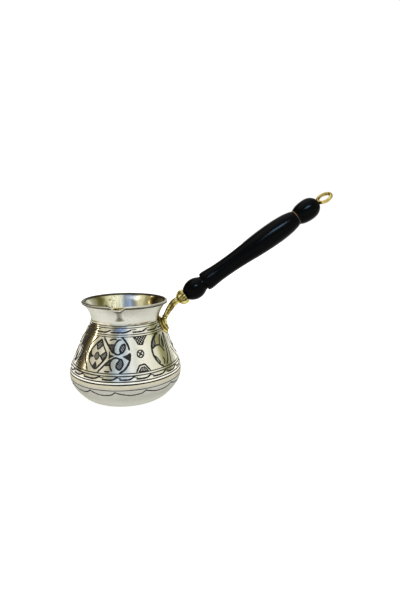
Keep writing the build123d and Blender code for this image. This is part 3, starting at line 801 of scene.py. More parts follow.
    # painted reflection: a patchy blue band round the front, just below the upper edge of the polished band, standing
    # for a window reflected there
    blue_painted_reflection = k.math("MULTIPLY", k.math("MULTIPLY", k.mapr(zu, 0.0606, 0.0614, 0, 1, True), k.mapr(zu, 0.0636, 0.0644, 1, 0, True)), k.mapr(off, 0.10, 0.22, 1, 0, True))
    blue_painted_reflection = k.math("MULTIPLY", blue_painted_reflection, k.mapr(k.noise(None, 210, 3, 0.6), 0.42, 0.58, 0.15, 0.85))
    col = k.mix(blue_painted_reflection, col, (0.16, 0.25, 0.46))
    # grime specks and short scratches
    speck = k.mapr(k.noise(None, 620, 2, 0.5), 0.70, 0.76, 0, 0.75)
    col = k.mix(speck, col, (0.24, 0.21, 0.14))
    nb = k.bump(brush, 0.22, 0.00025)
    nb = k.bump(k.noise(None, 34, 2, 0.5), 0.06, 0.002, nb)
    k.set(**{"Base Color": col, "Metallic": 1.0, "Roughness": rough, "Normal": nb})
    k.bsdf.inputs["Specular Tint"].default_value = (0.72, 0.71, 0.66, 1)
    return k.m


def niello_material():
    """Black filler in the cuts, thinner and greyer in places."""
    k = Nodes("pot_black_fill")
    n = k.noise(None, 900, 4, 0.65)
    c = k.noise(None, 120, 3, 0.6)
    col = k.mix(k.mapr(n, 0.35, 0.75, 0, 1), (0.006, 0.006, 0.006), (0.022, 0.020, 0.017))
    col = k.mix(k.mapr(c, 0.58, 0.80, 0, 0.5), col, (0.10, 0.09, 0.07))
    k.set(**{"Base Color": col, "Roughness": k.mapr(n, 0.3, 0.7, 0.45, 0.75), "Normal": k.bump(n, 0.4, 0.0001)})
    k.bsdf.inputs["Specular IOR Level"].default_value = 0.25
    return k.m


def brass_material(name, dark=0.5, rough=0.30, grain=260, base=(0.74, 0.60, 0.27), low=(0.20, 0.135, 0.045)):
    """Cast or drawn brass: bright on the high spots, brown in the hollows."""
    k = Nodes(name)
    geo = k.add("ShaderNodeNewGeometry")
    point = k.mapr(geo.outputs["Pointiness"], 0.455, 0.53, 0, 1)
    n1 = k.noise(None, grain, 5, 0.62)
    n2 = k.noise(None, grain * 5, 3, 0.6)
    stain = k.math("MULTIPLY", k.mapr(n1, 0.44, 0.58, 0, 1), dark)
    hollow = k.math("MULTIPLY", k.math("SUBTRACT", 1.0, point), dark * 1.15)
    f = k.math("ADD", k.math("MULTIPLY", stain, 0.8), hollow, clamp=True)
    col = k.mix(f, base, low)
    col = k.mix(k.mapr(n2, 0.5, 0.8, 0, 0.3), col, (0.42, 0.33, 0.12))
    k.bsdf.inputs["Specular Tint"].default_value = (0.30, 0.22, 0.07, 1)
    k.set(**{"Base Color": col, "Metallic": 1.0, "Roughness": k.math("ADD", k.mapr(n1, 0.3, 0.7, rough - 0.07, rough + 0.10), k.math("MULTIPLY", f, 0.12)),
             "Normal": k.bump(n2, 0.20, 0.00012, k.bump(n1, 0.35, 0.0004))})
    return k.m


def lip_shade_material():
    """Painted shade along the rolled lip, dark and patchy."""
    k = Nodes("lip_painted_shade")
    n = k.noise(None, 130, 3, 0.6)
    m = k.noise(None, 900, 3, 0.6)
    col = k.mix(k.mapr(n, 0.34, 0.62, 0, 1), (0.020, 0.017, 0.009), (0.105, 0.090, 0.050))
    col = k.mix(k.mapr(m, 0.45, 0.75, 0, 0.5), col, (0.016, 0.013, 0.008))
    k.set(**{"Base Color": col, "Metallic": 0.85, "Roughness": k.mapr(m, 0.3, 0.7, 0.30, 0.5), "Normal": k.bump(m, 0.3, 0.0002)})
    return k.m


def rivet_material():
    k = Nodes("rivet_dark")
    n = k.noise(None, 700, 4, 0.6)
    geo = k.add("ShaderNodeNewGeometry")
    col = k.mix(k.mapr(n, 0.35, 0.7, 0, 1), (0.10, 0.095, 0.10), (0.24, 0.21, 0.18))
    k.set(**{"Base Color": col, "Metallic": 0.9, "Roughness": k.mapr(n, 0.3, 0.7, 0.28, 0.5), "Normal": k.bump(n, 0.3, 0.0002)})
    return k.m


AX_DEG = 35.45
ang_h = math.radians(AX_DEG)
AX = Vector((math.cos(ang_h), 0, math.sin(ang_h)))
AX0 = Vector((50.36, 0, 83.51))


def along_axis(k):
    """(distance along the handle in m, angle round it) as node outputs."""
    x, y, z = k.xyz()
    c, s = math.cos(ang_h), math.sin(ang_h)
    dx = k.math("SUBTRACT", x, AX0.x * MM)
    dz = k.math("SUBTRACT", z, AX0.z * MM)
    t = k.math("ADD", k.math("MULTIPLY", dx, c), k.math("MULTIPLY", dz, s))
    u = k.math("ADD", k.math("MULTIPLY", dx, -s), k.math("MULTIPLY", dz, c))
    return t, k.math("ARCTAN2", u, y), u, y


def lacquer_material(name="handle_black_lacquer"):
    """Black lacquered wood: long faint grain, lathe rings and small scuffs under the gloss."""
    k = Nodes(name)
    t, a, u, v = along_axis(k)
    grain = k.noise(k.combine(k.math("MULTIPLY", t, 30), k.math("MULTIPLY", u, 900), k.math("MULTIPLY", v, 900)), 1.0, 4, 0.6, 0.4)
    lathe = k.noise(k.combine(k.math("MULTIPLY", t, 1500), k.math("MULTIPLY", a, 0.4), 0.0), 1.0, 2, 0.5)
    scuff = k.noise(None, 160, 5, 0.7)
    col = k.mix(k.mapr(grain, 0.35, 0.75, 0, 1), (0.0004, 0.0004, 0.0005), (0.0013, 0.0012, 0.0009))
    col = k.mix(k.mapr(scuff, 0.66, 0.82, 0, 0.3), col, (0.006, 0.005, 0.004))
    rough = k.math("ADD", k.mapr(scuff, 0.35, 0.75, 0.13, 0.24), k.mapr(grain, 0.4, 0.7, 0.0, 0.04))
    nb = k.bump(grain, 0.05, 0.00025)
    nb = k.bump(lathe, 0.03, 0.00015, nb)
    nb = k.bump(k.noise(None, 42, 2, 0.5), 0.03, 0.002, nb)
    k.set(**{"Base Color": col, "Roughness": rough, "Normal": nb})
    k.bsdf.inputs["Specular IOR Level"].default_value = 0.030
    return k.m


def bare_wood_material():
    k = Nodes("joint_tan_wood")
    t, a, u, v = along_axis(k)
    grain = k.noise(k.combine(k.math("MULTIPLY", t, 120), k.math("MULTIPLY", u, 1400), k.math("MULTIPLY", v, 1400)), 1.0, 4, 0.6, 0.5)
    col = k.mix(k.mapr(grain, 0.3, 0.7, 0, 1), (0.085, 0.038, 0.012), (0.22, 0.105, 0.035))
    # painted shade: the ring is darkened over its lower side
    col = k.mix(k.mapr(u, -0.0005, 0.0030, 1, 0, True), col, (0.020, 0.009, 0.004))
    k.set(**{"Base Color": col, "Roughness": k.mapr(grain, 0.3, 0.7, 0.45, 0.65), "Normal": k.bump(grain, 0.3, 0.0002)})
    return k.m


MAT_TIN = tin_material("pot_tin_outside")
MAT_TIN_IN = tin_material("pot_tin_inside", True)
MAT_FILL = niello_material()
MAT_CAST = brass_material("bracket_cast_brass", 0.80, 0.21, 230, base=(0.76, 0.65, 0.24), low=(0.085, 0.055, 0.009))
MAT_BALL = brass_material("ferrule_brass", 0.85, 0.16, 240, base=(0.86, 0.77, 0.30), low=(0.085, 0.055, 0.010))
MAT_WIRE = brass_material("eye_drawn_brass", 0.70, 0.20, 170, base=(0.56, 0.45, 0.15), low=(0.10, 0.055, 0.015))
MAT_FOOT_SHADOW = None
MAT_RIVET = rivet_material()
MAT_LIP_SHADE = lip_shade_material()
MAT_LACQ = lacquer_material()
MAT_WOOD = bare_wood_material()

# ------------------------------------------------------------------ pot mesh
w_pos, w_nrm, w_tri, w_cut = build_wall()
r_pos, r_faces, _ = build_rest()
lip_n = 13 * (len(COLS) - 1)           # faces of the lip

all_pos = np.vstack([w_pos, r_pos])
faces = [tuple(f) for f in w_tri] + [tuple(i + len(w_pos) for i in f) for f in r_faces]
n_col = len(COLS) - 1


def lip_zone(i):
    """Painted shade sits under the rolled lip and along its inner edge."""
    row, t = i // n_col, float(COLS[i % n_col])
    left = -84 < t < -11
    if row < 5 or row >= 9 or (left and row >= 7):
        return 3
    return 0


zone = [1 if c else 0 for c in w_cut] + [lip_zone(i) if i < lip_n else (2 if i < lip_n + 54 * n_col else 0) for i in range(len(r_faces))]
# weld the seams
key = np.round(all_pos, 3)
_, first, inv = np.unique(key, axis=0, return_index=True, return_inverse=True)
inv = inv.ravel()
order = np.argsort(first)
rank = np.empty(len(order), int)
rank[order] = np.arange(len(order))
weld = rank[inv]
wpos = all_pos[first[order]]
nf, nz, keep_src = [], [], []
for i, f in enumerate(faces):
    g = [int(weld[v]) for v in f]
    h = [g[j] for j in range(len(g)) if g[j] != g[j - 1]]
    if len(set(h)) >= 3 and len(set(h)) == len(h):
        nf.append(tuple(h))
        nz.append(zone[i])
        keep_src.append((i, f))
pot = new_mesh("pot_vessel", wpos * MM, nf, [MAT_TIN, MAT_FILL, MAT_TIN_IN, MAT_LIP_SHADE], nz)
me = pot.data
# outward normals: the wall's come from its true surface, so that the cuts don't bend the reflections around them
me.update()
fn = np.zeros(len(me.polygons) * 3)
me.polygons.foreach_get("normal", fn)
fn = fn.reshape(-1, 3)
smooth_vn = np.zeros((len(wpos), 3))
areas = np.zeros(len(me.polygons))
me.polygons.foreach_get("area", areas)
for (i, f), g, n, ar in zip(keep_src, nf, fn, areas):
    if i >= len(w_tri):
        for v in g:
            smooth_vn[v] += n * ar
smooth_vn /= np.maximum(np.linalg.norm(smooth_vn, axis=1, keepdims=True), 1e-12)
loops = []
nw = len(w_tri)
for (i, f), g, n in zip(keep_src, nf, fn):
    if i < nw:
        if w_cut[i]:
            loops += [tuple(n)] * len(g)
        else:
            m = {int(weld[v]): v for v in f}
            loops += [tuple(w_nrm[m[v]]) for v in g]
    else:
        loops += [tuple(smooth_vn[v]) for v in g]
me.normals_split_custom_set(loops)
me.update()
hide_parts("pot_body")
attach(pot, "root")


# ------------------------------------------------------------------ turned pieces of the handle
def lathe(name, outline, mat, segs=72, step=0.8, sub=True, wob=0.02):
    """Turns an (s, r) outline in mm about the handle's axis. The ends are closed to the rod."""
    s = np.array([p[0] for p in outline], float)
    r = np.array([p[1] for p in outline], float)
    t = np.r_[0, np.cumsum(np.hypot(np.diff(s), np.diff(r)))]
    if sub:
        q = np.unique(np.concatenate([np.linspace(0, t[-1], max(12, int(t[-1] / step))), t]))
        ss, rr = natural_cubic(t, s, q), natural_cubic(t, r, q)
    else:
        ss, rr = s, r
    path = [(ss[0], 1.5)] + [(ss[0], max(rr[0] - 0.5, 1.6))] + list(zip(ss, rr)) + [(ss[-1], max(rr[-1] - 0.5, 1.55))] + [(ss[-1], 1.5)]
    u = Vector((-math.sin(ang_h), 0, math.cos(ang_h)))
    v = AX.cross(u)
    verts, fc = [], []
    for a, b in path:
        for j in range(segs):
            th = 2 * math.pi * j / segs
            k = b + (wob * math.sin(2 * th + a * 0.05) if b > 2 else 0)
            verts.append((AX0 + AX * a + u * (k * math.cos(th)) + v * (k * math.sin(th))) * MM)
    for i in range(len(path) - 1):
        for j in range(segs):
            k = (j + 1) % segs
            fc.append((i * segs + j, i * segs + k, (i + 1) * segs + k, (i + 1) * segs + j))
    o = new_mesh(name, verts, fc, [mat])
    fix_normals(o)
    sharp(o, 42)
    return o


def fix_normals(o):
    import bmesh
    bm = bmesh.new()
    bm.from_mesh(o.data)
    bmesh.ops.remove_doubles(bm, verts=bm.verts, dist=1e-7)
    bmesh.ops.recalc_face_normals(bm, faces=bm.faces)
    bm.to_mesh(o.data)
    bm.free()
    o.data.update()


def sharp(o, deg):
    o.data.set_sharp_from_angle(angle=math.radians(deg))


BEAD = [
    (-0.40, 4.25), (0.05, 4.95), (1.1, 5.98), (2.5, 6.90), (4.2, 7.78), (5.85, 8.36),
    (7.5, 8.66), (9.2, 8.76), (10.9, 8.64), (12.5, 8.30), (14.2, 7.72), (15.85, 6.84),
    (17.2, 6.20), (18.20, 6.05),
]
GRIP = [
    (18.20, 6.90), (18.32, 7.26), (18.55, 7.56), (18.95, 7.82), (20.8, 8.18), (24.2, 8.02), (27.5, 7.72), (32.4, 7.39), (37.4, 7.30),
    (44.0, 7.33), (52.2, 7.60), (60.5, 8.12), (68.6, 8.76), (76.8, 9.22), (84.9, 9.42),
    (91.4, 9.32), (97.9, 8.92), (102.8, 8.32), (106.2, 7.62), (108.6, 6.94), (109.90, 6.35),
]
KNOB = [
    (110.75, 6.35), (111.4, 6.92), (112.5, 7.44), (114.1, 8.02), (117.3, 8.66), (121.0, 8.88),
    (123.7, 8.70), (125.5, 8.32), (127.1, 7.66), (128.7, 6.64), (130.3, 5.00), (131.6, 2.95), (132.0, 1.9),
]
bead = lathe("handle_bead_turned", BEAD, MAT_LACQ)
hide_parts("handle_bead")
grip = lathe("handle_grip_turned", GRIP, MAT_LACQ, segs=80, step=1.1)
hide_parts("handle_grip")
washer = lathe("joint_ring", [(109.90, 6.15), (110.05, 6.45), (110.33, 6.52), (110.6, 6.45), (110.75, 6.15)], MAT_WOOD, step=0.25)
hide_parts("joint_washer")
knob = lathe("end_knob_turned", KNOB, MAT_LACQ, segs=80)
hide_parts("end_knob")
for o, sl in ((bead, "black_lacquered_wood"), (grip, "black_lacquered_wood"), (knob, "black_lacquered_wood"), (washer, "bare_wood")):
    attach(o, "root")

# ------------------------------------------------------------------ fluted ball
u_h = Vector((-math.sin(ang_h), 0, math.cos(ang_h)))
v_h = AX.cross(u_h)
BALL_S, BALL_R = -2.35, 6.35


def fluted_ball():
    nu, nv, lobes = 160, 40, 8
    verts, fc = [], []
    lo, hi = -5.85, 1.95
    path = []
    a0, a1 = math.acos(lo / BALL_R), math.acos(hi / BALL_R)
    for i in range(nv + 1):
        a = a0 + (a1 - a0) * i / nv
        path.append((BALL_R * math.cos(a), BALL_R * math.sin(a)))
    path = [(lo, 1.35)] + path + [(hi, 1.35)]
    for x, r in path:
        for j in range(nu):
            th = 2 * math.pi * j / nu
            c = abs(math.cos(lobes * th / 2))
            # rounded lobes with narrow, deep flutes between them
            k = r * (0.80 + 0.20 * min(1.0, c / 0.62) ** 0.60 * (0.955 + 0.045 * c)) if r > 1.5 else r
            verts.append((AX0 + AX * (BALL_S + x) + u_h * (k * math.cos(th)) + v_h * (k * math.sin(th))) * MM)
    n = len(path)
    for i in range(n - 1):
        for j in range(nu):
            k = (j + 1) % nu
            fc.append((i * nu + j, i * nu + k, (i + 1) * nu + k, (i + 1) * nu + j))
    o = new_mesh("ferrule_ball", verts, fc, [MAT_BALL])
    fix_normals(o)
    sharp(o, 50)
    return o


ball = fluted_ball()
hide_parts("ball_ferrule")
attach(ball, "root")

# ------------------------------------------------------------------ bracket: arm, collar and foot cast in one
ARM = [
    (45.6, 80.6, 1.75, 1.9), (44.5, 79.95, 2.1, 2.3), (43.2, 79.05, 2.35, 2.7), (41.6, 77.95, 2.45, 2.9), (40.0, 76.6, 2.45, 3.0), (38.4, 74.55, 2.42, 3.05),
    (37.0, 72.4, 2.3, 3.0), (35.6, 70.2, 2.1, 2.9), (34.5, 68.1, 1.9, 2.8), (33.5, 66.1, 1.78, 2.6), (32.6, 64.3, 1.85, 2.4), (32.1, 62.6, 1.9, 2.2),
    (32.2, 60.6, 1.9, 1.95), (32.8, 58.5, 1.85, 1.65), (33.7, 56.2, 1.55, 1.3), (34.4, 54.6, 0.95, 0.8),
]
FOOT = [(0.0, 53.2), (2.3, 53.4), (4.3, 54.5), (5.6, 56.4), (6.0, 58.6), (5.5, 60.8), (4.0, 62.5), (2.0, 63.4), (0.0, 63.7)]


def catmull(pts, per):
    p = [pts[0]] + list(pts) + [pts[-1]]
    out = []
    for i in range(1, len(p) - 2):
        q = [np.array(v, float) for v in p[i - 1:i + 3]]
        for j in range(per):
            t = j / per
            out.append(0.5 * ((2 * q[1]) + (-q[0] + q[2]) * t + (2 * q[0] - 5 * q[1] + 4 * q[2] - q[3]) * t * t + (-q[0] + 3 * q[1] - 3 * q[2] + q[3]) * t ** 3))
    out.append(np.array(pts[-1], float))
    return np.array(out)


def tube(rows, seg):
    """Closed mesh from rings of points."""
    v = [p for ring_ in rows for p in ring_]
    f = []
    for i in range(len(rows) - 1):
        for j in range(seg):
            k = (j + 1) % seg
            f.append((i * seg + j, i * seg + k, (i + 1) * seg + k, (i + 1) * seg + j))
    n0 = len(v)
    v.append(np.mean(rows[0], axis=0))
    v.append(np.mean(rows[-1], axis=0))
    e = (len(rows) - 1) * seg
    for j in range(seg):
        k = (j + 1) % seg
        f.append((k, j, n0))
        f.append((e + j, e + k, n0 + 1))
    return v, f


def arm_mesh():
    p = catmull(ARM, 6)
    rows = []
    seg = 48
    for i in range(len(p)):
        d = p[min(i + 1, len(p) - 1)][:2] - p[max(i - 1, 0)][:2]
        d /= np.linalg.norm(d)
        n = np.array([d[1], -d[0]])
        if n[0] < 0:
            n = -n
        u = i / (len(p) - 1)
        flute = 0.20 * min(1, max(0, (u - 0.06) / 0.12)) * min(1, max(0, (0.62 - u) / 0.10))
        ring_ = []
        for j in range(seg):
            a = 2 * math.pi * j / seg
            ca, sa = math.cos(a), math.sin(a)
            f = 1.0
            for c0 in (0.10, math.pi + 0.10):
                dd = (a - c0 + math.pi) % (2 * math.pi) - math.pi
                f -= flute * math.exp(-(dd / 0.26) ** 2)
            # fuller at the four corners
            f *= 1 + 0.06 * math.cos(4 * (a - math.pi / 4))
            w, t = p[i][3] * f, p[i][2] * f * 1.22
            ring_.append(np.array([p[i][0] + n[0] * t * sa, w * ca, p[i][1] + n[1] * t * sa]))
        rows.append(ring_)
    return tube(rows, seg)


def torus_mesh(cx, cz, tilt, ry, rx, rr):
    """Collar round the arm: an oval torus about an axis in the XZ plane."""
    v, f = [], []
    n, m = 40, 14
    ax = np.array([math.sin(tilt), 0, math.cos(tilt)])
    e1 = np.array([math.cos(tilt), 0, -math.sin(tilt)])
    e2 = np.array([0, 1.0, 0])
    for i in range(n):
        a = 2 * math.pi * i / n
        d = e1 * math.cos(a) * rx + e2 * math.sin(a) * ry
        o = d / np.linalg.norm(d)
        for j in range(m):
            b = 2 * math.pi * j / m
            v.append(np.array([cx, 0, cz]) + d + (o * math.cos(b) + ax * math.sin(b)) * rr)
    for i in range(n):
        for j in range(m):
            f.append((i * m + j, ((i + 1) % n) * m + j, ((i + 1) % n) * m + (j + 1) % m, i * m + (j + 1) % m))
    return v, f


def surface_at(y, z, h):
    """Point h mm off the pot's outer surface, on the handle side."""
    s = float(np.interp(POT_H - z, POT_H - GZ, GS))
    r = float(r_of(s))
    e = 0.3
    tr, tz = float(r_of(s + e) - r_of(s - e)), float(z_of(s + e) - z_of(s - e))
    l = math.hypot(tr, tz)
    nr, nz = -tz / l, tr / l
    a = math.asin(y / r)
    return np.array([(r + nr * h) * math.cos(a), (r + nr * h) * math.sin(a), z + nz * h])


def foot_mesh(outline, heights, low, grow=0.0):
    """A plate that follows the pot. heights: (share of the way out, height above the pot) over the top face."""
    half = catmull(outline, 5)
    loop = [(y, z) for y, z in half] + [(-y, z) for y, z in half[::-1][1:-1]]
    cz = 58.9
    n = len(loop)
    rows_top, rows_bot = [], []
    for rho, h in heights:
        row = []
        for y, z in loop:
            l = math.hypot(y, z - cz)
            kk = rho * (1 + grow / l)
            row.append(surface_at(y * kk, cz + (z - cz) * kk, h))
        rows_top.append(row)
    for rho in (1.0, 0.75, 0.5, 0.25, 0.06):
        row = []
        for y, z in loop:
            l = math.hypot(y, z - cz)
            kk = rho * (1 + grow / l) * 0.985
            row.append(surface_at(y * kk, cz + (z - cz) * kk, low))
        rows_bot.append(row)
    return tube(rows_top + rows_bot, n)


parts = [
    arm_mesh(),
    torus_mesh(32.7, 65.0, math.radians(28), 2.6, 1.62, 0.72),
    torus_mesh(33.6, 67.2, math.radians(30), 2.5, 1.55, 0.42),
    foot_mesh(FOOT, [(0.05, 1.9), (0.3, 1.8), (0.55, 1.7), (0.70, 1.7), (0.78, 2.1), (0.85, 2.8), (0.92, 3.05), (0.97, 2.9), (1.0, 2.5), (1.006, 1.9)], 1.25),
]
bv, bf = [], []
for v, f in parts:
    o = len(bv)
    bv += [np.array(q) * MM for q in v]
    bf += [tuple(o + i for i in q) for q in f]
br = new_mesh("bracket_casting", bv, bf, [MAT_CAST])
fix_normals(br)
rm = br.modifiers.new("remesh", "REMESH")
rm.mode = "VOXEL"
rm.voxel_size = 0.00019
rm.use_smooth_shade = True
sm = br.modifiers.new("soften", "SMOOTH")
sm.factor = 0.5
sm.iterations = 4
dg = bpy.context.evaluated_depsgraph_get()
cast = bpy.data.meshes.new_from_object(br.evaluated_get(dg), depsgraph=dg)
br.modifiers.clear()
br.data = cast
br.data.name = "bracket_casting_mesh"
# painted shadow: a thin black sheet under the foot, where the gap between the foot and the pot is in shade
k = Nodes("foot_painted_shadow")
n = k.noise(None, 800, 3, 0.6)
k.set(**{"Base Color": k.mix(k.mapr(n, 0.35, 0.7, 0, 1), (0.004, 0.004, 0.004), (0.014, 0.012, 0.009)), "Roughness": k.mapr(n, 0.3, 0.7, 0.6, 0.85), "Normal": k.bump(n, 0.5, 0.0002)})
k.bsdf.inputs["Specular IOR Level"].default_value = 0.15
MAT_FOOT_SHADOW = k.m
# the painted shadow sheet, a little larger than the foot
gv, gf = foot_mesh(FOOT, [(0.05, 1.2), (0.4, 1.2), (0.8, 1.2), (0.96, 1.1), (1.0, 0.7), (1.0, 0.1)], 0.03, grow=1.7)
import bmesh
bm = bmesh.new()
bm.from_mesh(br.data)
base_n = len(bm.verts)
gvs = [bm.verts.new(tuple(np.array(q) * MM)) for q in gv]
bm.verts.ensure_lookup_table()
for q in gf:
    fc_ = bm.faces.new([gvs[i] for i in q])
    fc_.material_index = 1
bmesh.ops.recalc_face_normals(bm, faces=bm.faces)
bm.to_mesh(br.data)
bm.free()
br.data.materials.clear()
br.data.materials.append(MAT_CAST)
br.data.materials.append(MAT_FOOT_SHADOW)
br.data.polygons.foreach_set("use_smooth", np.full(len(br.data.polygons), True))
br.data.update()
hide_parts("handle_bracket")
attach(br, "root")


# ------------------------------------------------------------------ rivets
def rivet_pair():
    """Both rivets: domed, hand-closed heads outside, flatter ones inside, with the shank between."""
    lo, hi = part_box("bracket_rivets")
    ry, rz = 3.75, 59.0
    s = float(np.interp(POT_H - rz, POT_H - GZ, GS))
    r = float(r_of(s))
    e = 0.2
    tr, tz = float(r_of(s + e) - r_of(s - e)), float(z_of(s + e) - z_of(s - e))
    l = math.hypot(tr, tz)
    nr, nz = -tz / l, tr / l
    verts, fc = [], []
    for sg in (1, -1):
        az = math.asin(sg * ry / r)
        o = Vector((r * math.cos(az), r * math.sin(az), rz))
        n = Vector((nr * math.cos(az), nr * math.sin(az), nz)).normalized()
        a = n.orthogonal().normalized()
        b = n.cross(a)
        path = [(-1.88, 0.02), (-1.86, 0.6), (-1.74, 1.15), (-1.48, 1.55), (-1.22, 1.72), (-1.22, 1.15), (1.5, 1.15), (1.5, 1.70), (1.74, 1.66), (2.10, 1.40), (2.42, 0.96), (2.60, 0.48), (2.64, 0.02)]
        seg = 28
        base = len(verts)
        for h, q in path:
            for j in range(seg):
                th = 2 * math.pi * j / seg
                # hammered a little out of round
                k = q * (1 + 0.035 * math.sin(3 * th + sg) + 0.02 * math.sin(5 * th))
                verts.append((o + n * h + a * (k * math.cos(th)) + b * (k * math.sin(th))) * MM)
        for i in range(len(path) - 1):
            for j in range(seg):
                k = (j + 1) % seg
                fc.append((base + i * seg + j, base + i * seg + k, base + (i + 1) * seg + k, base + (i + 1) * seg + j))
    o = new_mesh("foot_rivets", verts, fc, [MAT_RIVET])
    fix_normals(o)
    sharp(o, 55)
    return o


rv = rivet_pair()
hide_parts("bracket_rivets")
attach(rv, "root")


# ------------------------------------------------------------------ rod and hanging eye
def eye_wire():
    """Rod through the wood, bent round into an eye whose end is tucked against the knob."""
    turn = math.radians(63.8)
    b = u_h * math.cos(turn) + Vector((0, 1, 0)) * math.sin(turn)
    c = AX0 + AX * 137.98
    R = 5.5
    pts = [(AX0 + AX * s, 1.28) for s in (-12.4, -8, 0, 20, 60, 100, 125, 129.5)]
    # loop from the rod round and back to the rod
    n = 44
    for i in range(n + 1):
        th = math.radians(180 + 9 + (360 - 20) * i / n)
        squeeze = 1 - 0.05 * math.cos(th)
        p = c + AX * (R * math.cos(th)) + b * (R * 0.97 * squeeze * math.sin(th))
        w = 1.40 if i > 2 else 1.34
        pts.append((p, w))
    pts.append((AX0 + AX * 131.6 + b * 0.55, 0.95))
    cu = bpy.data.curves.new("eye", "CURVE")
    cu.dimensions = "3D"
    cu.bevel_depth = 1 * MM
    cu.bevel_resolution = 5
    cu.use_fill_caps = True
    sp = cu.splines.new("POLY")
    sp.points.add(len(pts) - 1)
    for i, (p, w) in enumerate(pts):
        sp.points[i].co = (*(p * MM), 1)
        sp.points[i].radius = w
    tmp = bpy.data.objects.new("tmp_eye", cu)
    scene.collection.objects.link(tmp)
    dg = bpy.context.evaluated_depsgraph_get()
    m = bpy.data.meshes.new_from_object(tmp.evaluated_get(dg), depsgraph=dg)
    bpy.data.objects.remove(tmp)
    m.name = "rod_and_eye_mesh"
    m.materials.clear()
    m.materials.append(MAT_WIRE)
    m.polygons.foreach_set("use_smooth", np.full(len(m.polygons), True))
    o = bpy.data.objects.new("rod_and_eye", m)
    scene.collection.objects.link(o)
    fix_normals(o)
    sharp(o, 60)
    return o


eye = eye_wire()
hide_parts("eye_rod")
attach(eye, "root")

# ------------------------------------------------------------------ floor
fl_n = 48
fv, ff = [], []
for i in range(fl_n + 1):
    for j in range(fl_n + 1):
        fv.append(((i / fl_n - 0.5) * 9, (j / fl_n - 0.5) * 9, 0))
for i in range(fl_n):
    for j in range(fl_n):
        a = i * (fl_n + 1) + j
        ff.append((a, a + fl_n + 1, a + fl_n + 2, a + 1))
k = Nodes("studio_floor")
n = k.noise(None, 6, 3, 0.5)
fx, fy, fz = k.xyz()
far = k.math("SQRT", k.math("ADD", k.math("MULTIPLY", fx, fx), k.math("MULTIPLY", fy, fy)))
k.set(**{"Base Color": k.mix(k.mapr(n, 0.3, 0.7, 0, 1), (0.60, 0.60, 0.597), (0.63, 0.63, 0.626)), "Roughness": 0.75, "Emission Color": (1, 1, 1), "Emission Strength": k.mapr(far, 0.25, 2.2, 0.74, 1.0)})
k.bsdf.inputs["Specular IOR Level"].default_value = 0.2
floor = new_mesh("studio_floor", fv, ff, [k.m])
floor.location.z = -0.00002

# ------------------------------------------------------------------ light
world = bpy.data.worlds.new("studio")
scene.world = world
world.use_nodes = True
wt = world.node_tree
wt.nodes.clear()
wo = wt.nodes.new("ShaderNodeOutputWorld")
bg = wt.nodes.new("ShaderNodeBackground")
tc = wt.nodes.new("ShaderNodeTexCoord")
sx = wt.nodes.new("ShaderNodeSeparateXYZ")
wt.links.new(tc.outputs["Generated"], sx.inputs[0])


def wmath(op, a, b=None):
    n = wt.nodes.new("ShaderNodeMath")
    n.operation = op
    for i, v in enumerate((a, b)):
        if v is None:
            continue
        if isinstance(v, (int, float)):
            n.inputs[i].default_value = v
        else:
            wt.links.new(v, n.inputs[i])
    return n.outputs[0]


# angle round the studio, 0 in front of the pot (-Y), growing towards +X, as 0..1 for -180..180
az = wmath("ARCTAN2", sx.outputs[0], wmath("MULTIPLY", sx.outputs[1], -1.0))
azf = wmath("ADD", wmath("MULTIPLY", az, 0.5 / math.pi), 0.5)
ramp = wt.nodes.new("ShaderNodeValToRGB")
wt.links.new(azf, ramp.inputs[0])
walls = [
    (-180, (1.05, 1.05, 1.05)), (-155.5, (1.05, 1.05, 1.04)), (-153.5, (0.30, 0.27, 0.17)), (-146, (0.17, 0.145, 0.08)), (-136, (0.12, 0.10, 0.055)),
    (-125, (0.08, 0.066, 0.033)), (-112, (0.055, 0.042, 0.020)), (-103, (0.11, 0.078, 0.030)), (-99, (0.20, 0.15, 0.07)), (-94, (0.80, 0.72, 0.50)),
    (-87, (0.72, 0.68, 0.50)), (-82, (0.55, 0.52, 0.38)), (-70, (0.72, 0.70, 0.60)), (-64, (0.62, 0.60, 0.46)), (-50, (0.86, 0.86, 0.78)),
    (-42, (0.74, 0.72, 0.58)), (-35, (0.50, 0.49, 0.38)), (-29, (0.40, 0.43, 0.38)), (-20, (0.46, 0.53, 0.60)), (-11, (0.66, 0.82, 1.02)),
    (0, (0.50, 0.62, 0.78)), (9, (0.58, 0.68, 0.78)), (18, (1.0, 1.06, 1.12)), (30, (0.76, 0.81, 0.78)), (42, (0.98, 1.00, 0.97)),
    (58, (0.98, 1.00, 0.96)), (72, (0.88, 0.90, 0.80)), (88, (0.84, 0.86, 0.70)), (96, (0.34, 0.34, 0.17)), (112, (0.27, 0.27, 0.13)),
    (124, (0.48, 0.50, 0.40)), (146, (0.66, 0.68, 0.64)),
]
el = ramp.color_ramp.elements
while len(el) > 1:
    el.remove(el[-1])
el[0].position = 0
el[0].color = (*walls[0][1], 1)
for d, c in walls[1:]:
    e = el.new((d + 180) / 360)
    e.color = (*c, 1)
# the wall behind the pot
back = wt.nodes.new("ShaderNodeMapRange")
wt.links.new(azf, back.inputs[0])
for i, v in enumerate(((142 + 180) / 360, (146 + 180) / 360, 0.0, 1.0)):
    back.inputs[i + 1].default_value = v
mb = wt.nodes.new("ShaderNodeMix")
mb.data_type = "RGBA"
wt.links.new(back.outputs[0], mb.inputs[0])
wt.links.new(ramp.outputs[0], mb.inputs[6])
mb.inputs[7].default_value = (1.05, 1.05, 1.05, 1)
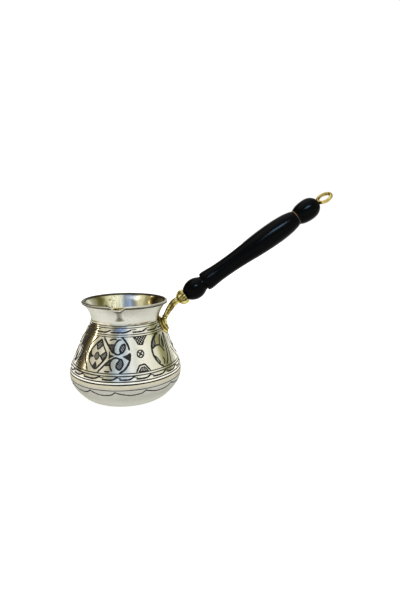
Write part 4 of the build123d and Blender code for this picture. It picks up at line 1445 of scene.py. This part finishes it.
# ceiling
up = wt.nodes.new("ShaderNodeMapRange")
up.interpolation_type = "SMOOTHSTEP"
wt.links.new(sx.outputs[2], up.inputs[0])
for i, v in enumerate((0.80, 0.93, 0.0, 1.0)):
    up.inputs[i + 1].default_value = v
mx = wt.nodes.new("ShaderNodeMix")
mx.data_type = "RGBA"
wt.links.new(up.outputs[0], mx.inputs[0])
wt.links.new(mb.outputs[2], mx.inputs[6])
mx.inputs[7].default_value = (0.9, 0.9, 0.88, 1)
# the room is seen plain and pale from every side, and only its light and reflections have walls
lp = wt.nodes.new("ShaderNodeLightPath")
seen = wt.nodes.new("ShaderNodeMix")
seen.data_type = "RGBA"
wt.links.new(lp.outputs["Is Camera Ray"], seen.inputs[0])
wt.links.new(mx.outputs[2], seen.inputs[6])
seen.inputs[7].default_value = (1.05, 1.05, 1.05, 1)
wt.links.new(seen.outputs[2], bg.inputs[0])
bg.inputs[1].default_value = 1.0
wt.links.new(bg.outputs[0], wo.inputs[0])


def area(name, loc, target, size, energy, color=(1, 1, 1), size_y=None):
    d = bpy.data.lights.new(name, "AREA")
    d.energy = energy
    d.color = color
    d.size = size
    if size_y:
        d.shape = "RECTANGLE"
        d.size_y = size_y
    o = bpy.data.objects.new(name, d)
    o.location = loc
    o.rotation_euler = (Vector(target) - Vector(loc)).to_track_quat("-Z", "Y").to_euler()
    scene.collection.objects.link(o)
    return o


area("soft_overhead", (-0.25, -0.1, 1.25), (0.05, 0, 0.05), 1.1, 5.0, (1.0, 0.99, 0.97))
# the window's gleam on the lacquer alone
win = area("window_gleam", (0.06, -1.25, 1.00), (0.10, 0, 0.12), 0.50, 30.0, (0.42, 0.68, 1.0), 0.26)
gleam = bpy.data.collections.new("lacquered")
for o in (bead, grip, knob):
    gleam.objects.link(o)
win.light_linking.receiver_collection = gleam
# narrow warm strip to the left of the pot
area("strip_left", (-1.30, 0.02, 0.62), (0.0, 0, 0.06), 0.055, 0.55, (1.0, 0.93, 0.74), 0.62)

# ------------------------------------------------------------------ camera
F_PX, IMG_W, IMG_H = 392.0, 400, 600
pitch, roll, yaw_w = math.radians(10.0786), math.radians(0.5616), math.radians(3.4)
cam_w = Vector((62.331, -319.750, 136.238))
rt, fw, upv = Vector((1, 0, 0)), Vector((0, math.cos(pitch), -math.sin(pitch))), Vector((0, math.sin(pitch), math.cos(pitch)))
rot = Matrix.Rotation(-yaw_w, 3, "Z")
cam_o = rot @ cam_w
rt, fw, upv = rot @ rt, rot @ fw, rot @ upv
r2 = rt * math.cos(roll) + upv * math.sin(roll)
u2 = upv * math.cos(roll) - rt * math.sin(roll)
# aim
dx_px, dy_px = 0.35, 0.45
f2 = (fw * F_PX - r2 * dx_px + u2 * dy_px).normalized()
r2 = f2.cross(u2).normalized()
u2 = r2.cross(f2).normalized()
cam = bpy.data.cameras.new("cam")
cam.sensor_width = 36.0
cam.lens = F_PX / IMG_H * 36.0
cam.clip_start = 0.01
cam.clip_end = 30
co = bpy.data.objects.new("cam", cam)
mw = Matrix((
    (r2.x, u2.x, -f2.x, cam_o.x * MM),
    (r2.y, u2.y, -f2.y, cam_o.y * MM),
    (r2.z, u2.z, -f2.z, cam_o.z * MM),
    (0, 0, 0, 1),
))
co.matrix_world = mw
scene.collection.objects.link(co)
scene.camera = co
scene.view_settings.view_transform = "Standard"
scene.view_settings.look = "None"
